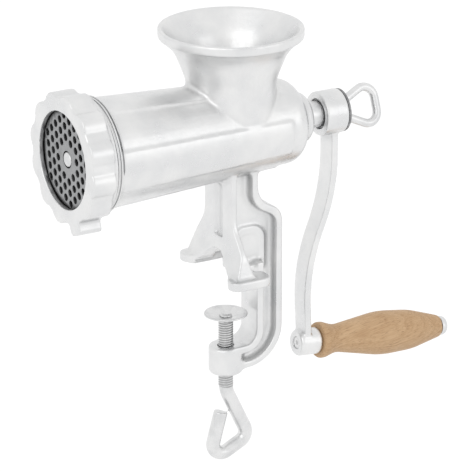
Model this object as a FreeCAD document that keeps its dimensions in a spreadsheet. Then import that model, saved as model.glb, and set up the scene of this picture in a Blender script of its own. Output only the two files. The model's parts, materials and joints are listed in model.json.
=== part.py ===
import FreeCAD, Part
import math
import os
from types import SimpleNamespace

import Sketcher

# Hand crank meat grinder that clamps to a table edge.
# Frame: +Z up, +X from the outlet towards the crank, origin on the clamp screw's axis at the table top.

SIZES = (
    # Whole object
    ("barrel_height", 87.5, "table top up to the barrel axis"),
    ("hopper_offset", 3.5, "clamp screw axis to hopper axis, towards the crank"),
    ("running_clearance", 0.1, "radial play of a shaft, pin or tang in its hole"),
    ("thread_clearance", 0.25, "radial play drawn between a screw and its nut"),
    ("face_clearance", 0.1, "play between flat faces that turn on each other"),
    ("flight_clearance", 1.0, "play between the auger's flight and the bore"),
    # Barrel
    ("mouth_reach", 106.3, "hopper axis to the open end of the barrel"),
    ("mouth_wall", 2.1, "wall round the plate at the root of the mouth's thread"),
    ("mouth_thread_depth", 0.8, "crest to root of the thread for the ring nut"),
    ("mouth_thread_length", 18.2, "threaded length at the mouth"),
    ("mouth_step", 1.8, "root of the mouth's thread down to the barrel behind it"),
    ("barrel_wall", 2.8, "wall of the barrel at its rear"),
    ("rear_wall_reach", 42.0, "hopper axis to the outside of the rear wall"),
    ("rear_wall", 8.0, "thickness of the rear wall"),
    ("rear_round", 10.4, "rounding of the barrel's rear edge"),
    ("rear_boss_wall", 7.6, "wall of the bearing boss round the shaft"),
    ("rear_boss_length", 7.5, "bearing boss beyond the rear wall"),
    ("rear_boss_round", 5.0, "rounding of the bearing boss"),
    ("panel_rise", 1.2, "height of the raised panels along the barrel"),
    ("panel_reach", 27.0, "hopper axis to the rear end of the panels"),
    ("top_panel_angle", 55.0, "angle taken by the top panel"),
    ("side_panel_angle", 46.0, "angle taken by each side panel"),
    ("side_panel_turn", 95.5, "angle from straight up to the middle of a side panel"),
    ("bottom_panel_angle", 34.0, "angle taken by the bottom panel"),
    ("plate_ledge", 4.1, "wide bore down to the auger bore behind it"),
    ("bore_taper", 5.0, "how much the auger bore narrows to the rear wall"),
    ("plate_seat_depth", 13.2, "depth of the wide bore for plate and knife"),
    # Hopper
    ("rim_height", 62.4, "barrel axis to the hopper's rim"),
    ("rim_outer_radius", 42.4, "outside of the rim band"),
    ("rim_inner_radius", 40.2, "inside of the rim"),
    ("rim_band", 5.6, "height of the rim band"),
    ("rim_step", 1.4, "how far the band stands out from the funnel"),
    ("flare_radius", 33.2, "outside of the funnel where it starts to flare"),
    ("flare_height", 49.0, "barrel axis to the start of the flare"),
    ("flare_round", 22.0, "rounding of the flare"),
    ("neck_radius", 26.2, "outside of the hopper's neck"),
    ("neck_height", 31.0, "barrel axis to the hopper's neck"),
    ("neck_round", 24.0, "rounding from funnel to neck"),
    ("hopper_wall", 3.0, "thickness of the funnel"),
    # Leg and feet
    ("flange_front", 5.4, "clamp screw axis forward to the face of the leg's front flange"),
    ("flange_thickness", 4.0, "front flange of the leg"),
    ("flange_half_width", 16.0, "half width of the front flange"),
    ("flange_groove_half", 4.6, "half width of the groove down the front flange"),
    ("flange_groove_depth", 2.6, "depth of that groove"),
    ("flange_groove_end", 23.5, "height where the groove ends"),
    ("splay_height", 33.5, "height where the legs start to splay"),
    ("knee_spread", 27.5, "half width at the legs' knees"),
    ("knee_height", 18.5, "height of the legs' knees"),
    ("ankle_spread", 31.0, "half width over the legs at the feet"),
    ("arch_rise", 15.5, "height of the arch between the feet"),
    ("arch_flat", 4.5, "half width of the arch's crown"),
    ("arch_round", 9.0, "rounding of the arch's crown"),
    ("leg_round", 16.0, "rounding where the legs splay and at their knees"),
    ("shin_round", 14.0, "rounding of the legs seen from the side"),
    ("ankle_front", 9.5, "clamp screw axis forward to the front of a leg at the foot"),
    ("ankle_back", 2.5, "clamp screw axis back to the rear of a leg at the foot"),
    ("foot_spread", 27.2, "middle plane to the middle of a foot"),
    ("foot_width", 14.5, "width of a foot"),
    ("foot_thickness", 5.5, "thickness of a foot"),
    ("foot_front", 10.5, "clamp screw axis forward to the toe's inner corner"),
    ("toe_front", 18.0, "clamp screw axis forward to the toe's outer corner"),
    ("foot_back", 12.5, "clamp screw axis back to the heel"),
    ("foot_round", 6.0, "rounding of a foot's corners"),
    # Clamp frame
    ("web_half", 2.2, "half thickness of the web"),
    ("rib_half", 8.4, "half width of the border rib"),
    ("rib_width", 4.2, "width of the border rib seen from the side"),
    ("column_back", 17.5, "clamp screw axis back to the rear of the column"),
    ("hip_height", 43.0, "height where the column steps back to the spine"),
    ("hip_round", 14.0, "rounding of that step"),
    ("shoulder_height", 36.0, "height of the spine's shoulder"),
    ("shoulder_round", 11.0, "rounding of the spine's shoulder"),
    ("spine_back", 34.0, "clamp screw axis back to the rear of the spine"),
    ("throat_depth", 16.0, "clamp screw axis back to the front of the spine"),
    ("throat_height", 45.5, "table top down to the lower arm"),
    ("lower_arm_depth", 15.0, "height of the lower arm"),
    ("heel_round", 24.0, "rounding of the clamp frame's lower rear corner"),
    ("throat_round", 8.0, "rounding of the throat's lower corner"),
    ("jaw_flange_half", 10.0, "half width of the flange round the throat"),
    ("jaw_flange_thickness", 4.5, "thickness of that flange"),
    ("gusset_front", 2.0, "clamp screw axis back to the front of the jaw gusset"),
    ("gusset_back", 24.5, "clamp screw axis back to the rear of the jaw gusset"),
    ("gusset_height", 27.0, "height of the jaw gusset"),
    ("gusset_round", 9.0, "rounding of the jaw gusset's top"),
    ("gusset_border", 4.6, "border of the jaw gusset round its sunk panel"),
    ("gusset_half", 4.0, "half thickness of the jaw gusset at its border"),
    ("gusset_panel_half", 3.3, "half thickness of the jaw gusset at its sunk panel"),
    ("screw_boss_radius", 10.25, "boss that carries the clamp screw"),
    ("screw_boss_top", 46.0, "table top down to the boss"),
    ("screw_boss_height", 17.4, "height of the boss"),
    ("screw_boss_round", 2.5, "rounding of the boss"),
    # Ring nut
    ("ring_lip", 3.4, "front lip that holds the plate"),
    ("ring_hold", 2.5, "how far the lip covers the plate's edge"),
    ("ring_wall", 2.65, "wall of the ring nut between its lobes"),
    ("ring_lobe_length", 14.6, "length of the lobed part"),
    ("ring_length", 17.6, "whole length of the ring nut"),
    ("ring_rim_wall", 1.75, "wall of the plain rim behind the lobes"),
    ("lobe_radius", 9.0, "rounding of a lobe"),
    ("lobe_rise", 2.4, "height of a lobe over the ring nut between lobes"),
    ("lobe_count", 12.0, "lobes round the ring nut"),
    ("lobe_turn", 9.0, "angle from straight up to the first lobe"),
    ("lug_turn", 159.0, "angle from straight up to the striking lug"),
    ("lug_rise", 6.5, "height of the striking lug over the ring nut between lobes"),
    ("lug_width", 11.0, "width of the striking lug"),
    ("lug_round", 2.5, "rounding of the striking lug"),
    ("ring_edge_round", 1.2, "rounding of the ring nut's front edge"),
    # Plate and knife
    ("plate_radius", 31.0, "grinding plate"),
    ("plate_thickness", 5.0, "grinding plate"),
    ("plate_proud", 0.9, "how far the plate stands out of the mouth"),
    ("plate_hole_radius", 2.2, "one of the plate's holes"),
    ("plate_border", 5.0, "plate's edge in to the middles of its outermost holes"),
    ("plate_hole_turn", -8.0, "angle from straight up to the first row of holes"),
    ("plate_eye_radius", 5.0, "centre hole of the plate"),
    ("key_radius", 1.5, "pin that keys the plate"),
    ("key_reach", 2.2, "how far the pin stands into the mouth"),
    ("key_depth", 2.6, "mouth face back to the pin's middle"),
    ("knife_inset", 5.0, "plate's edge in to the tips of the knife"),
    ("knife_hub_radius", 9.5, "hub of the knife"),
    ("knife_thickness", 8.0, "hub of the knife"),
    ("blade_thickness", 5.0, "blades of the knife"),
    ("blade_width", 8.0, "blades of the knife"),
    ("blade_round", 2.0, "rounding of a blade's trailing tip"),
    # Auger
    ("front_tang", 10.0, "square that drives the knife"),
    ("stud_radius", 4.4, "head of the stud, in the plate's eye"),
    ("stud_shank_radius", 3.0, "shank of the stud, in the auger"),
    ("stud_depth", 16.0, "how far the stud sits in the auger"),
    ("stud_proud", 0.4, "how far the stud stands out of the plate"),
    ("stud_round", 1.2, "rounding of the stud's end"),
    ("core_front_radius", 9.0, "auger core at the front"),
    ("core_rear_radius", 12.0, "auger core at the rear"),
    ("flight_pitch", 28.0, "advance of the flight in one turn"),
    ("flight_root", 6.0, "thickness of the flight at the core"),
    ("flight_tip", 3.0, "thickness of the flight at its edge"),
    ("flight_end_gap", 14.0, "core left bare in front of the rear collar"),
    ("collar_rise", 8.1, "height of the collar at the auger's rear over its shaft"),
    ("collar_thickness", 3.0, "collar at the auger's rear"),
    ("thrust_washer_thickness", 2.0, "washer behind the auger's collar"),
    ("journal_radius", 7.9, "auger shaft in the rear wall and beyond"),
    ("drive_tang", 11.0, "square that carries the crank"),
    # Crank
    ("crank_gap", 8.8, "end of the bearing boss to the crank's hub"),
    ("hub_radius", 13.2, "crank hub"),
    ("hub_length", 15.0, "crank hub"),
    ("hub_round", 1.0, "rounding of the hub's edges"),
    ("hub_recess_depth", 3.0, "recess for the shaft's end in the hub"),
    ("hub_recess_gap", 1.1, "gap round the shaft's end in that recess"),
    ("tang_short", 2.5, "how far the tang stops short of the hub's outer face"),
    ("crank_throw", 142.3, "barrel axis to the crank's lower boss"),
    ("crank_set", 18.5, "how far the arm is set back towards the barrel"),
    ("crank_arm_middle", 8.8, "hub's inner face to the middle of the arm"),
    ("crank_arm_thickness", 4.3, "crank arm"),
    ("crank_arm_top_width", 14.4, "crank arm at the hub"),
    ("crank_arm_low_width", 12.4, "crank arm at the lower boss"),
    ("crank_bend_top", 48.0, "barrel axis down to the arm's upper bend"),
    ("crank_bend_low", 94.0, "barrel axis down to the arm's lower bend"),
    ("crank_bend_round", 112.0, "rounding of the arm's bends"),
    ("grip_boss_radius", 8.05, "lower boss of the crank"),
    ("grip_boss_length", 14.6, "lower boss of the crank"),
    ("grip_boss_round", 2.0, "rounding of the lower boss"),
    ("grip_boss_setback", 13.4, "hub's inner face back to the lower boss"),
    ("grip_droop", 5.2, "angle the grip falls away from level"),
    # Grip and spindle
    ("grip_gap", 0.5, "play between the lower boss and the grip"),
    ("grip_length", 87.0, "wooden grip"),
    ("grip_flange_radius", 10.9, "inner end of the grip"),
    ("grip_flange_length", 3.4, "inner end of the grip"),
    ("grip_neck_radius", 8.2, "waist of the grip"),
    ("grip_neck_place", 11.5, "waist of the grip from its inner end"),
    ("grip_belly_radius", 13.6, "corner of the grip's outline at its belly"),
    ("grip_belly_place", 44.0, "that corner from the inner end"),
    ("grip_shoulder_radius", 12.1, "corner of the grip's outline at its shoulder"),
    ("grip_shoulder_place", 66.0, "that corner from the inner end"),
    ("grip_end_radius", 6.6, "outer end of the grip"),
    ("grip_edge_round", 1.0, "rounding of the grip's end edges"),
    ("grip_neck_round", 14.0, "rounding of the waist"),
    ("grip_belly_round", 60.0, "rounding of the belly"),
    ("grip_shoulder_round", 50.0, "rounding of the shoulder"),
    ("spindle_radius", 3.5, "spindle through the grip"),
    ("spindle_sink", 0.7, "how far the riveted end lies below the boss's face"),
    ("rivet_eye_radius", 1.5, "dimple in the riveted end"),
    ("rivet_eye_depth", 2.0, "dimple in the riveted end"),
    ("spindle_cap_radius", 5.9, "cap on the spindle's outer end"),
    ("spindle_cap_length", 4.6, "cap on the spindle's outer end"),
    ("spindle_cap_round", 3.0, "doming of the cap"),
    # Thumb screw
    ("thumb_washer_radius", 12.9, "washer under the thumb screw"),
    ("thumb_washer_thickness", 1.4, "washer under the thumb screw"),
    ("thumb_stem_radius", 3.0, "threaded stem"),
    ("thumb_stem_length", 15.0, "stem beyond the washer into the auger"),
    ("thumb_collar_radius", 6.0, "collar that presses on the washer"),
    ("thumb_collar_length", 2.6, "collar that presses on the washer"),
    ("screw_edge_round", 0.5, "rounding of small edges on the screws and the pad"),
    ("thumb_wire_radius", 2.65, "wire of the loop"),
    ("thumb_loop_reach", 24.3, "collar to the far side of the loop"),
    ("thumb_loop_half", 15.0, "half height at the loop's corners"),
    ("thumb_loop_start", 4.0, "half spacing of the strands at the collar"),
    ("thumb_loop_round", 7.0, "rounding of the loop's corners"),
    ("thumb_turn", -22.0, "angle at which the loop stands"),
    # Clamp screw and pad
    ("clamp_thread_radius", 4.5, "crest of the clamp screw's thread"),
    ("clamp_thread_depth", 0.4, "crest to root of that thread"),
    ("table_gap", 25.5, "table top down to the pad's rim"),
    ("pad_radius", 12.9, "clamp pad"),
    ("pad_thickness", 2.2, "clamp pad"),
    ("pad_dish", 2.2, "depth of the dish in the pad"),
    ("pad_seat_radius", 5.5, "flat middle of the pad"),
    ("pad_pin_radius", 2.6, "end of the screw through the pad"),
    ("pad_head_radius", 4.3, "peened head that holds the pad"),
    ("pad_head_height", 1.5, "peened head that holds the pad"),
    ("loop_swell", 0.1, "how much thicker the loop is than the thread's root"),
    ("loop_neck", 75.0, "table top down to the first bend"),
    ("loop_neck_round", 18.0, "rounding of the first bend"),
    ("loop_side_reach", 15.6, "screw axis to the loop's side corner"),
    ("loop_side_drop", 107.5, "table top down to the loop's side corner"),
    ("loop_side_round", 6.5, "rounding of the loop's side corner"),
    ("loop_toe_reach", 12.4, "screw axis to the loop's bottom corner"),
    ("loop_toe_drop", 120.8, "table top down to the loop's bottom corner"),
    ("loop_toe_round", 6.5, "rounding of the loop's bottom corner"),
    ("loop_end_reach", 3.4, "screw axis to the loop's free end"),
    ("loop_end_drop", 88.5, "table top down to the loop's free end"),
)

FULL_TURN = 360.0
FAR = 200.0
VOLUME_STEP = 1.0


class Size:
    """A dimension: the formula that binds it to the sheet, and the number that the formula gives."""

    def __init__(self, text, value):
        self.text = text
        self.value = value

    def __add__(self, other):
        other = as_size(other)
        return Size(f"({self.text} + {other.text})", self.value + other.value)

    def __radd__(self, other):
        return as_size(other) + self

    def __sub__(self, other):
        other = as_size(other)
        return Size(f"({self.text} - {other.text})", self.value - other.value)

    def __rsub__(self, other):
        return as_size(other) - self

    def __mul__(self, other):
        other = as_size(other)
        return Size(f"({self.text} * {other.text})", self.value * other.value)

    def __rmul__(self, other):
        return as_size(other) * self

    def __truediv__(self, other):
        other = as_size(other)
        return Size(f"({self.text} / {other.text})", self.value / other.value)

    def __neg__(self):
        return Size(f"(0 - {self.text})", -self.value)


def as_size(value):
    if isinstance(value, Size):
        return value
    return Size(f"({float(value):.6f})", float(value))


doc = FreeCAD.newDocument("meat_grinder")


def fill_sheet():
    """Write the driving dimensions into the sheet, and return them by name."""
    sheet = doc.addObject("Spreadsheet::Sheet", "Sizes")
    named = SimpleNamespace()
    for row, (alias, value, meaning) in enumerate(SIZES, start=1):
        sheet.set(f"A{row}", meaning)
        sheet.set(f"B{row}", str(value))
        sheet.setAlias(f"B{row}", alias)
        setattr(named, alias, Size(f"Sizes.{alias}", value))
    doc.recompute()
    return named


S = fill_sheet()

# Places along the barrel axis that several pieces share
mouth_x = S.hopper_offset - S.mouth_reach
thread_end_x = mouth_x + S.mouth_thread_length
plate_seat_x = mouth_x + S.plate_seat_depth
rear_wall_x = S.hopper_offset + S.rear_wall_reach
chamber_end_x = rear_wall_x - S.rear_wall
boss_end_x = rear_wall_x + S.rear_boss_length
plate_front_x = mouth_x - S.plate_proud
plate_back_x = plate_front_x + S.plate_thickness
knife_front_x = plate_back_x + S.face_clearance
knife_back_x = knife_front_x + S.knife_thickness
ring_front_x = plate_front_x - S.face_clearance - S.ring_lip
collar_back_x = chamber_end_x - S.thrust_washer_thickness - S.face_clearance
hub_x = boss_end_x + S.crank_gap
hub_end_x = hub_x + S.hub_length
tang_end_x = hub_end_x - S.tang_short

# Radii that follow the plate, the shaft and the clamp screw
plate_seat_radius = S.plate_radius + S.running_clearance
mouth_root_radius = plate_seat_radius + S.mouth_wall
mouth_thread_radius = mouth_root_radius + S.mouth_thread_depth
barrel_front_radius = mouth_root_radius - S.mouth_step
bore_front_radius = plate_seat_radius - S.plate_ledge
bore_rear_radius = bore_front_radius - S.bore_taper
barrel_rear_radius = bore_rear_radius + S.barrel_wall
ring_bore_radius = mouth_thread_radius + S.thread_clearance
ring_valley_radius = ring_bore_radius + S.ring_wall
ring_opening_radius = S.plate_radius - S.ring_hold
rear_boss_radius = S.journal_radius + S.rear_boss_wall
collar_radius = S.journal_radius + S.collar_rise
hub_recess_radius = S.journal_radius + S.hub_recess_gap
rod_root_radius = S.clamp_thread_radius - S.clamp_thread_depth
throat_radius = S.neck_radius - S.hopper_wall


# Drawing helpers


def new_body(label):
    body = doc.addObject("PartDesign::Body", label)
    body.Label = label
    return body


def place(body, x=0, y=0, z=0):
    for axis, value in (("x", x), ("y", y), ("z", z)):
        body.setExpression(f"Placement.Base.{axis}", as_size(value).text)


def turn_body(body, axis, angle):
    rotation = FreeCAD.Rotation(FreeCAD.Vector(*axis), angle.value)
    body.Placement = FreeCAD.Placement(FreeCAD.Vector(), rotation)
    body.setExpression("Placement.Rotation.Angle", angle.text)


def origin_part(body, role):
    return next(part for part in body.Origin.OriginFeatures if part.Role == role)


def new_sketch(body, role, at=(0, 0, 0), turn=None):
    """A sketch on one of the body's own planes, moved in its own axes and turned about one of them."""
    sketch = body.newObject("Sketcher::SketchObject", body.Label + "_sketch")
    sketch.AttachmentSupport = [(origin_part(body, role), "")]
    sketch.MapMode = "FlatFace"
    if turn:
        axis, angle = turn
        angle = as_size(angle)
        rotation = FreeCAD.Rotation(FreeCAD.Vector(*axis), angle.value)
        sketch.AttachmentOffset = FreeCAD.Placement(FreeCAD.Vector(), rotation)
        sketch.setExpression("AttachmentOffset.Rotation.Angle", angle.text)
    for axis, value in zip("xyz", at):
        sketch.setExpression(f"AttachmentOffset.Base.{axis}", as_size(value).text)
    return sketch


def constrain(sketch, kind, *args):
    """Add a constraint whose last argument is a size, bound to the sheet."""
    *places, size = args
    size = as_size(size)
    index = sketch.addConstraint(Sketcher.Constraint(kind, *places, size.value))
    sketch.setExpression(f"Constraints[{index}]", size.text)


def locate(sketch, geometry, point, x, y):
    constrain(sketch, "DistanceX", -1, 1, geometry, point, x)
    constrain(sketch, "DistanceY", -1, 1, geometry, point, y)


def draw_circle(sketch, x, y, radius):
    x, y, radius = as_size(x), as_size(y), as_size(radius)
    centre = FreeCAD.Vector(x.value, y.value, 0)
    circle = sketch.addGeometry(Part.Circle(centre, FreeCAD.Vector(0, 0, 1), radius.value), False)
    locate(sketch, circle, 3, x, y)
    constrain(sketch, "Radius", circle, radius)


class Corner:
    """One corner of an outline: its place, the radius that rounds it, and the ends of that arc."""

    def __init__(self, x, y, radius=0):
        self.x = as_size(x)
        self.y = as_size(y)
        self.radius = as_size(radius)
        self.point = FreeCAD.Vector(self.x.value, self.y.value, 0)
        self.arrive = self.point
        self.leave = self.point
        self.centre = None
        self.left_turn = True

    def round_off(self, before, after):
        back = (before.point - self.point).normalize()
        ahead = (after.point - self.point).normalize()
        half = back.getAngle(ahead) / 2
        reach = self.radius.value / math.tan(half)
        self.arrive = self.point + back * reach
        self.leave = self.point + ahead * reach
        self.centre = self.point + (back + ahead).normalize() * (self.radius.value / math.sin(half))
        self.left_turn = back.cross(ahead).z < 0

    def arc(self):
        """The rounding as a counter-clockwise arc."""
        ends = (self.arrive, self.leave) if self.left_turn else (self.leave, self.arrive)
        angles = [math.atan2(end.y - self.centre.y, end.x - self.centre.x) for end in ends]
        circle = Part.Circle(self.centre, FreeCAD.Vector(0, 0, 1), self.radius.value)
        return Part.ArcOfCircle(circle, *angles)


def draw_outline(sketch, points, closed=True):
    """Straight runs through the points (x, y[, radius]), with a tangent arc where a point has a radius."""
    corners = [Corner(*point) for point in points]
    count = len(corners)
    runs = count if closed else count - 1
    for i, corner in enumerate(corners):
        if corner.radius.value:
            corner.round_off(corners[i - 1], corners[(i + 1) % count])
    lines = []
    for i in range(runs):
        segment = Part.LineSegment(corners[i].leave, corners[(i + 1) % count].arrive)
        lines.append(sketch.addGeometry(segment, False))
    for i, corner in enumerate(corners):
        if not closed and i == 0:
            locate(sketch, lines[0], 1, corner.x, corner.y)
        elif not closed and i == runs:
            locate(sketch, lines[-1], 2, corner.x, corner.y)
        else:
            join_runs(sketch, lines[i - 1], lines[i], corner)


def join_runs(sketch, line_in, line_out, corner):
    """Hold the end of one run and the start of the next at their corner, sharp or rounded."""
    if not corner.radius.value:
        sketch.addConstraint(Sketcher.Constraint("Coincident", line_in, 2, line_out, 1))
        locate(sketch, line_out, 1, corner.x, corner.y)
        return
    arc = sketch.addGeometry(corner.arc(), False)
    vertex = sketch.addGeometry(Part.Point(corner.point), True)
    first, last = (1, 2) if corner.left_turn else (2, 1)
    locate(sketch, vertex, 1, corner.x, corner.y)
    sketch.addConstraint(Sketcher.Constraint("PointOnObject", vertex, 1, line_in))
    sketch.addConstraint(Sketcher.Constraint("PointOnObject", vertex, 1, line_out))
    sketch.addConstraint(Sketcher.Constraint("Tangent", line_in, 2, arc, first))
    sketch.addConstraint(Sketcher.Constraint("Tangent", arc, last, line_out, 1))
    constrain(sketch, "Radius", arc, corner.radius)


def box_points(x0, y0, x1, y1, radius=0):
    return [(x0, y0, radius), (x1, y0, radius), (x1, y1, radius), (x0, y1, radius)]


def checked(body, feature, grows):
    """Recompute, and stop if the feature left the body's volume as it was."""
    before = feature.BaseFeature.Shape.Volume if feature.BaseFeature else 0.0
    doc.recompute()
    change = feature.Shape.Volume - before
    if (change if grows else -change) < VOLUME_STEP:
        raise RuntimeError(f"{body.Label}: {feature.Name} changed the volume by {change:.2f}")
    return feature


def feature_on(body, kind, sketch):
    feature = body.newObject(f"PartDesign::{kind}", f"{body.Label}_{kind.lower()}")
    feature.Profile = sketch
    return feature


def pad(body, sketch, length, symmetric=False, reverse=False):
    feature = feature_on(body, "Pad", sketch)
    feature.SideType = "Symmetric" if symmetric else "One side"
    feature.Reversed = reverse
    feature.setExpression("Length", as_size(length).text)
    return checked(body, feature, True)


def pocket(body, sketch, depth, symmetric=False, reverse=False):
    feature = feature_on(body, "Pocket", sketch)
    feature.SideType = "Symmetric" if symmetric else "One side"
    feature.Reversed = reverse
    feature.setExpression("Length", as_size(depth).text)
    return checked(body, feature, False)


def revolve(body, sketch, axis="H_Axis", angle=FULL_TURN, cut=False):
    """Spin an outline about one of its sketch's axes, evenly to both sides of the sketch."""
    feature = feature_on(body, "Groove" if cut else "Revolution", sketch)
    feature.ReferenceAxis = (sketch, [axis])
    feature.Midplane = True
    feature.setExpression("Angle", as_size(angle).text)
    return checked(body, feature, not cut)


def repeat_round(body, feature, sketch, count, axis="H_Axis"):
    pattern = body.newObject("PartDesign::PolarPattern", body.Label + "_round")
    pattern.Originals = [feature]
    pattern.Axis = (sketch, [axis])
    pattern.Angle = FULL_TURN
    pattern.setExpression("Occurrences", as_size(count).text)
    body.Tip = pattern
    doc.recompute()
    return pattern


def mirror(body, feature, role):
    twin = body.newObject("PartDesign::Mirrored", body.Label + "_mirror")
    twin.Originals = [feature]
    twin.MirrorPlane = (origin_part(body, role), [""])
    body.Tip = twin
    doc.recompute()
    return twin


def sweep(body, section, path):
    feature = feature_on(body, "AdditivePipe", section)
    feature.Spine = path
    return checked(body, feature, True)


# Body casting: barrel, hopper, leg, feet and clamp frame in one piece


def add_legs(body):
    """Front flange that splays into two legs, with the arch between them."""
    half = [
        (S.flange_half_width, S.barrel_height),
        (S.flange_half_width, S.splay_height, S.leg_round),
        (S.knee_spread, S.knee_height, S.leg_round),
        (S.ankle_spread, S.foot_thickness / 2),
        (S.foot_spread - S.foot_width / 2, S.foot_thickness / 2),
        (S.arch_flat, S.arch_rise, S.arch_round),
    ]
    other = [(-corner[0], *corner[1:]) for corner in reversed(half)]
    depth = S.ankle_front + S.ankle_back
    front = new_sketch(body, "YZ_Plane", (0, 0, -S.ankle_front))
    draw_outline(front, half + other)
    pad(body, front, depth)
    flange_x = -S.flange_front
    ahead = new_sketch(body, "XZ_Plane")
    draw_outline(ahead, [
        (flange_x, FAR), (-FAR, FAR), (-FAR, S.foot_thickness),
        (-S.ankle_front, S.foot_thickness), (flange_x, S.knee_height, S.shin_round),
    ])
    pocket(body, ahead, FAR, symmetric=True)
    rear_x = flange_x + S.flange_thickness
    behind = new_sketch(body, "XZ_Plane")
    draw_outline(behind, [
        (rear_x, FAR), (rear_x, S.knee_height, S.shin_round), (S.ankle_back, S.foot_thickness),
        (FAR, S.foot_thickness), (FAR, FAR),
    ])
    pocket(body, behind, FAR, symmetric=True)


def add_feet(body):
    """Two flat feet whose toes turn a little outwards."""
    feet = new_sketch(body, "XY_Plane")
    inner = S.foot_spread - S.foot_width / 2
    outer = S.foot_spread + S.foot_width / 2
    foot = [
        (-S.foot_front, inner, S.foot_round / 2),
        (S.foot_back, inner, S.foot_round / 2),
        (S.foot_back, outer, S.foot_round),
        (-S.toe_front, outer, S.foot_round),
    ]
    draw_outline(feet, foot)
    draw_outline(feet, [(x, -y, edge) for x, y, edge in reversed(foot)])
    pad(body, feet, S.foot_thickness)


def add_clamp_frame(body):
    """Column, spine and lower arm: a web with a border rib, and a wider flange round the throat."""
    arm_bottom = -(S.throat_height + S.lower_arm_depth)
    flange_mid = S.flange_thickness / 2 - S.flange_front
    outline = [
        (flange_mid, S.barrel_height),
        (S.column_back, S.barrel_height),
        (S.column_back, S.hip_height, S.hip_round),
        (S.spine_back, S.shoulder_height, S.shoulder_round),
        (S.spine_back, arm_bottom, S.heel_round),
        (0, arm_bottom),
        (0, -S.throat_height),
        (S.throat_depth, -S.throat_height, S.throat_round),
        (S.throat_depth, 0),
        (S.gusset_front, 0),
        (S.gusset_front, S.arch_rise),
        (flange_mid, S.arch_rise),
    ]
    inner_back = S.spine_back - S.rib_width
    inner_front = S.throat_depth + S.jaw_flange_thickness
    inner_top = -(S.throat_height + S.jaw_flange_thickness)
    recess = [
        (flange_mid + S.rib_width, S.barrel_height - S.rib_width),
        (S.column_back - S.rib_width, S.barrel_height - S.rib_width),
        (S.column_back - S.rib_width, S.hip_height - S.rib_width / 2, S.hip_round),
        (inner_back, S.shoulder_height - S.rib_width, S.shoulder_round - S.rib_width),
        (inner_back, arm_bottom + S.rib_width, S.heel_round - S.rib_width),
        (S.screw_boss_radius / 2, arm_bottom + S.rib_width),
        (S.screw_boss_radius / 2, inner_top),
        (inner_front, inner_top, S.throat_round + S.jaw_flange_thickness),
        (inner_front, S.rib_width),
        (S.gusset_front + S.rib_width, S.rib_width),
        (S.gusset_front + S.rib_width, S.arch_rise + S.rib_width),
        (flange_mid + S.rib_width, S.arch_rise + S.rib_width),
    ]
    web = new_sketch(body, "XZ_Plane")
    draw_outline(web, outline)
    pad(body, web, S.web_half * 2, symmetric=True)
    rib = new_sketch(body, "XZ_Plane")
    draw_outline(rib, outline)
    draw_outline(rib, recess)
    pad(body, rib, S.rib_half * 2, symmetric=True)
    flange = new_sketch(body, "XZ_Plane")
    draw_outline(flange, [
        (S.throat_depth, S.foot_thickness),
        (S.throat_depth, -S.throat_height, S.throat_round),
        (0, -S.throat_height),
        (0, inner_top),
        (inner_front, inner_top, S.throat_round + S.jaw_flange_thickness),
        (inner_front, S.foot_thickness),
    ])
    pad(body, flange, S.jaw_flange_half * 2, symmetric=True)


def add_jaw_gusset(body):
    """Round-topped gusset behind the legs, with a sunk panel on each side."""
    outer = [
        (S.gusset_front, 0), (S.gusset_back, 0),
        (S.gusset_back, S.gusset_height, S.gusset_round), (S.gusset_front, S.gusset_height, S.gusset_round),
    ]
    border = S.gusset_border
    low, high = S.foot_thickness, S.gusset_height - border
    inner_round = S.gusset_round - border
    panel = [
        (S.gusset_front + border, low), (S.gusset_back - border, low),
        (S.gusset_back - border, high, inner_round), (S.gusset_front + border, high, inner_round),
    ]
    core = new_sketch(body, "XZ_Plane")
    draw_outline(core, outer)
    pad(body, core, S.gusset_panel_half * 2, symmetric=True)
    edge = new_sketch(body, "XZ_Plane")
    draw_outline(edge, outer)
    draw_outline(edge, panel)
    pad(body, edge, S.gusset_half * 2, symmetric=True)


def add_screw_boss(body):
    boss = new_sketch(body, "XZ_Plane", (0, -S.screw_boss_top, 0))
    radius, low = S.screw_boss_radius, -S.screw_boss_height
    edge = S.screw_boss_round
    draw_outline(boss, [(0, 0), (0, low), (radius, low, edge), (radius, 0, edge / 2)])
    revolve(body, boss, "V_Axis")


def add_barrel(body):
    barrel = new_sketch(body, "XZ_Plane", (0, S.barrel_height, 0))
    draw_outline(barrel, [
        (mouth_x, 0),
        (mouth_x, mouth_root_radius),
        (thread_end_x, mouth_root_radius),
        (thread_end_x, barrel_front_radius),
        (rear_wall_x, barrel_rear_radius, S.rear_round),
        (rear_wall_x, rear_boss_radius),
        (boss_end_x, rear_boss_radius, S.rear_boss_round),
        (boss_end_x, 0),
    ])
    revolve(body, barrel)
    taper = (barrel_front_radius - barrel_rear_radius) / (rear_wall_x - thread_end_x)
    panel_end_x = S.hopper_offset + S.panel_reach
    panel_end_radius = barrel_rear_radius + S.panel_rise + taper * (S.rear_wall_reach - S.panel_reach)
    panels = (
        (0, S.top_panel_angle),
        (S.side_panel_turn, S.side_panel_angle),
        (-S.side_panel_turn, S.side_panel_angle),
        (180, S.bottom_panel_angle),
    )
    for turn, angle in panels:
        panel = new_sketch(body, "XZ_Plane", (0, S.barrel_height, 0), ((1, 0, 0), turn))
        draw_outline(panel, [
            (thread_end_x, bore_rear_radius),
            (thread_end_x, barrel_front_radius + S.panel_rise),
            (panel_end_x, panel_end_radius),
            (panel_end_x, bore_rear_radius),
        ])
        revolve(body, panel, angle=angle)


def hopper_profile(inset, rim_radius, top):
    """The funnel from its neck up to under the rim, moved inwards by a wall's thickness."""
    return [
        (S.neck_radius - inset, S.neck_height, S.neck_round),
        (S.flare_radius - inset, S.flare_height, S.flare_round),
        (rim_radius, top),
    ]


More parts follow.
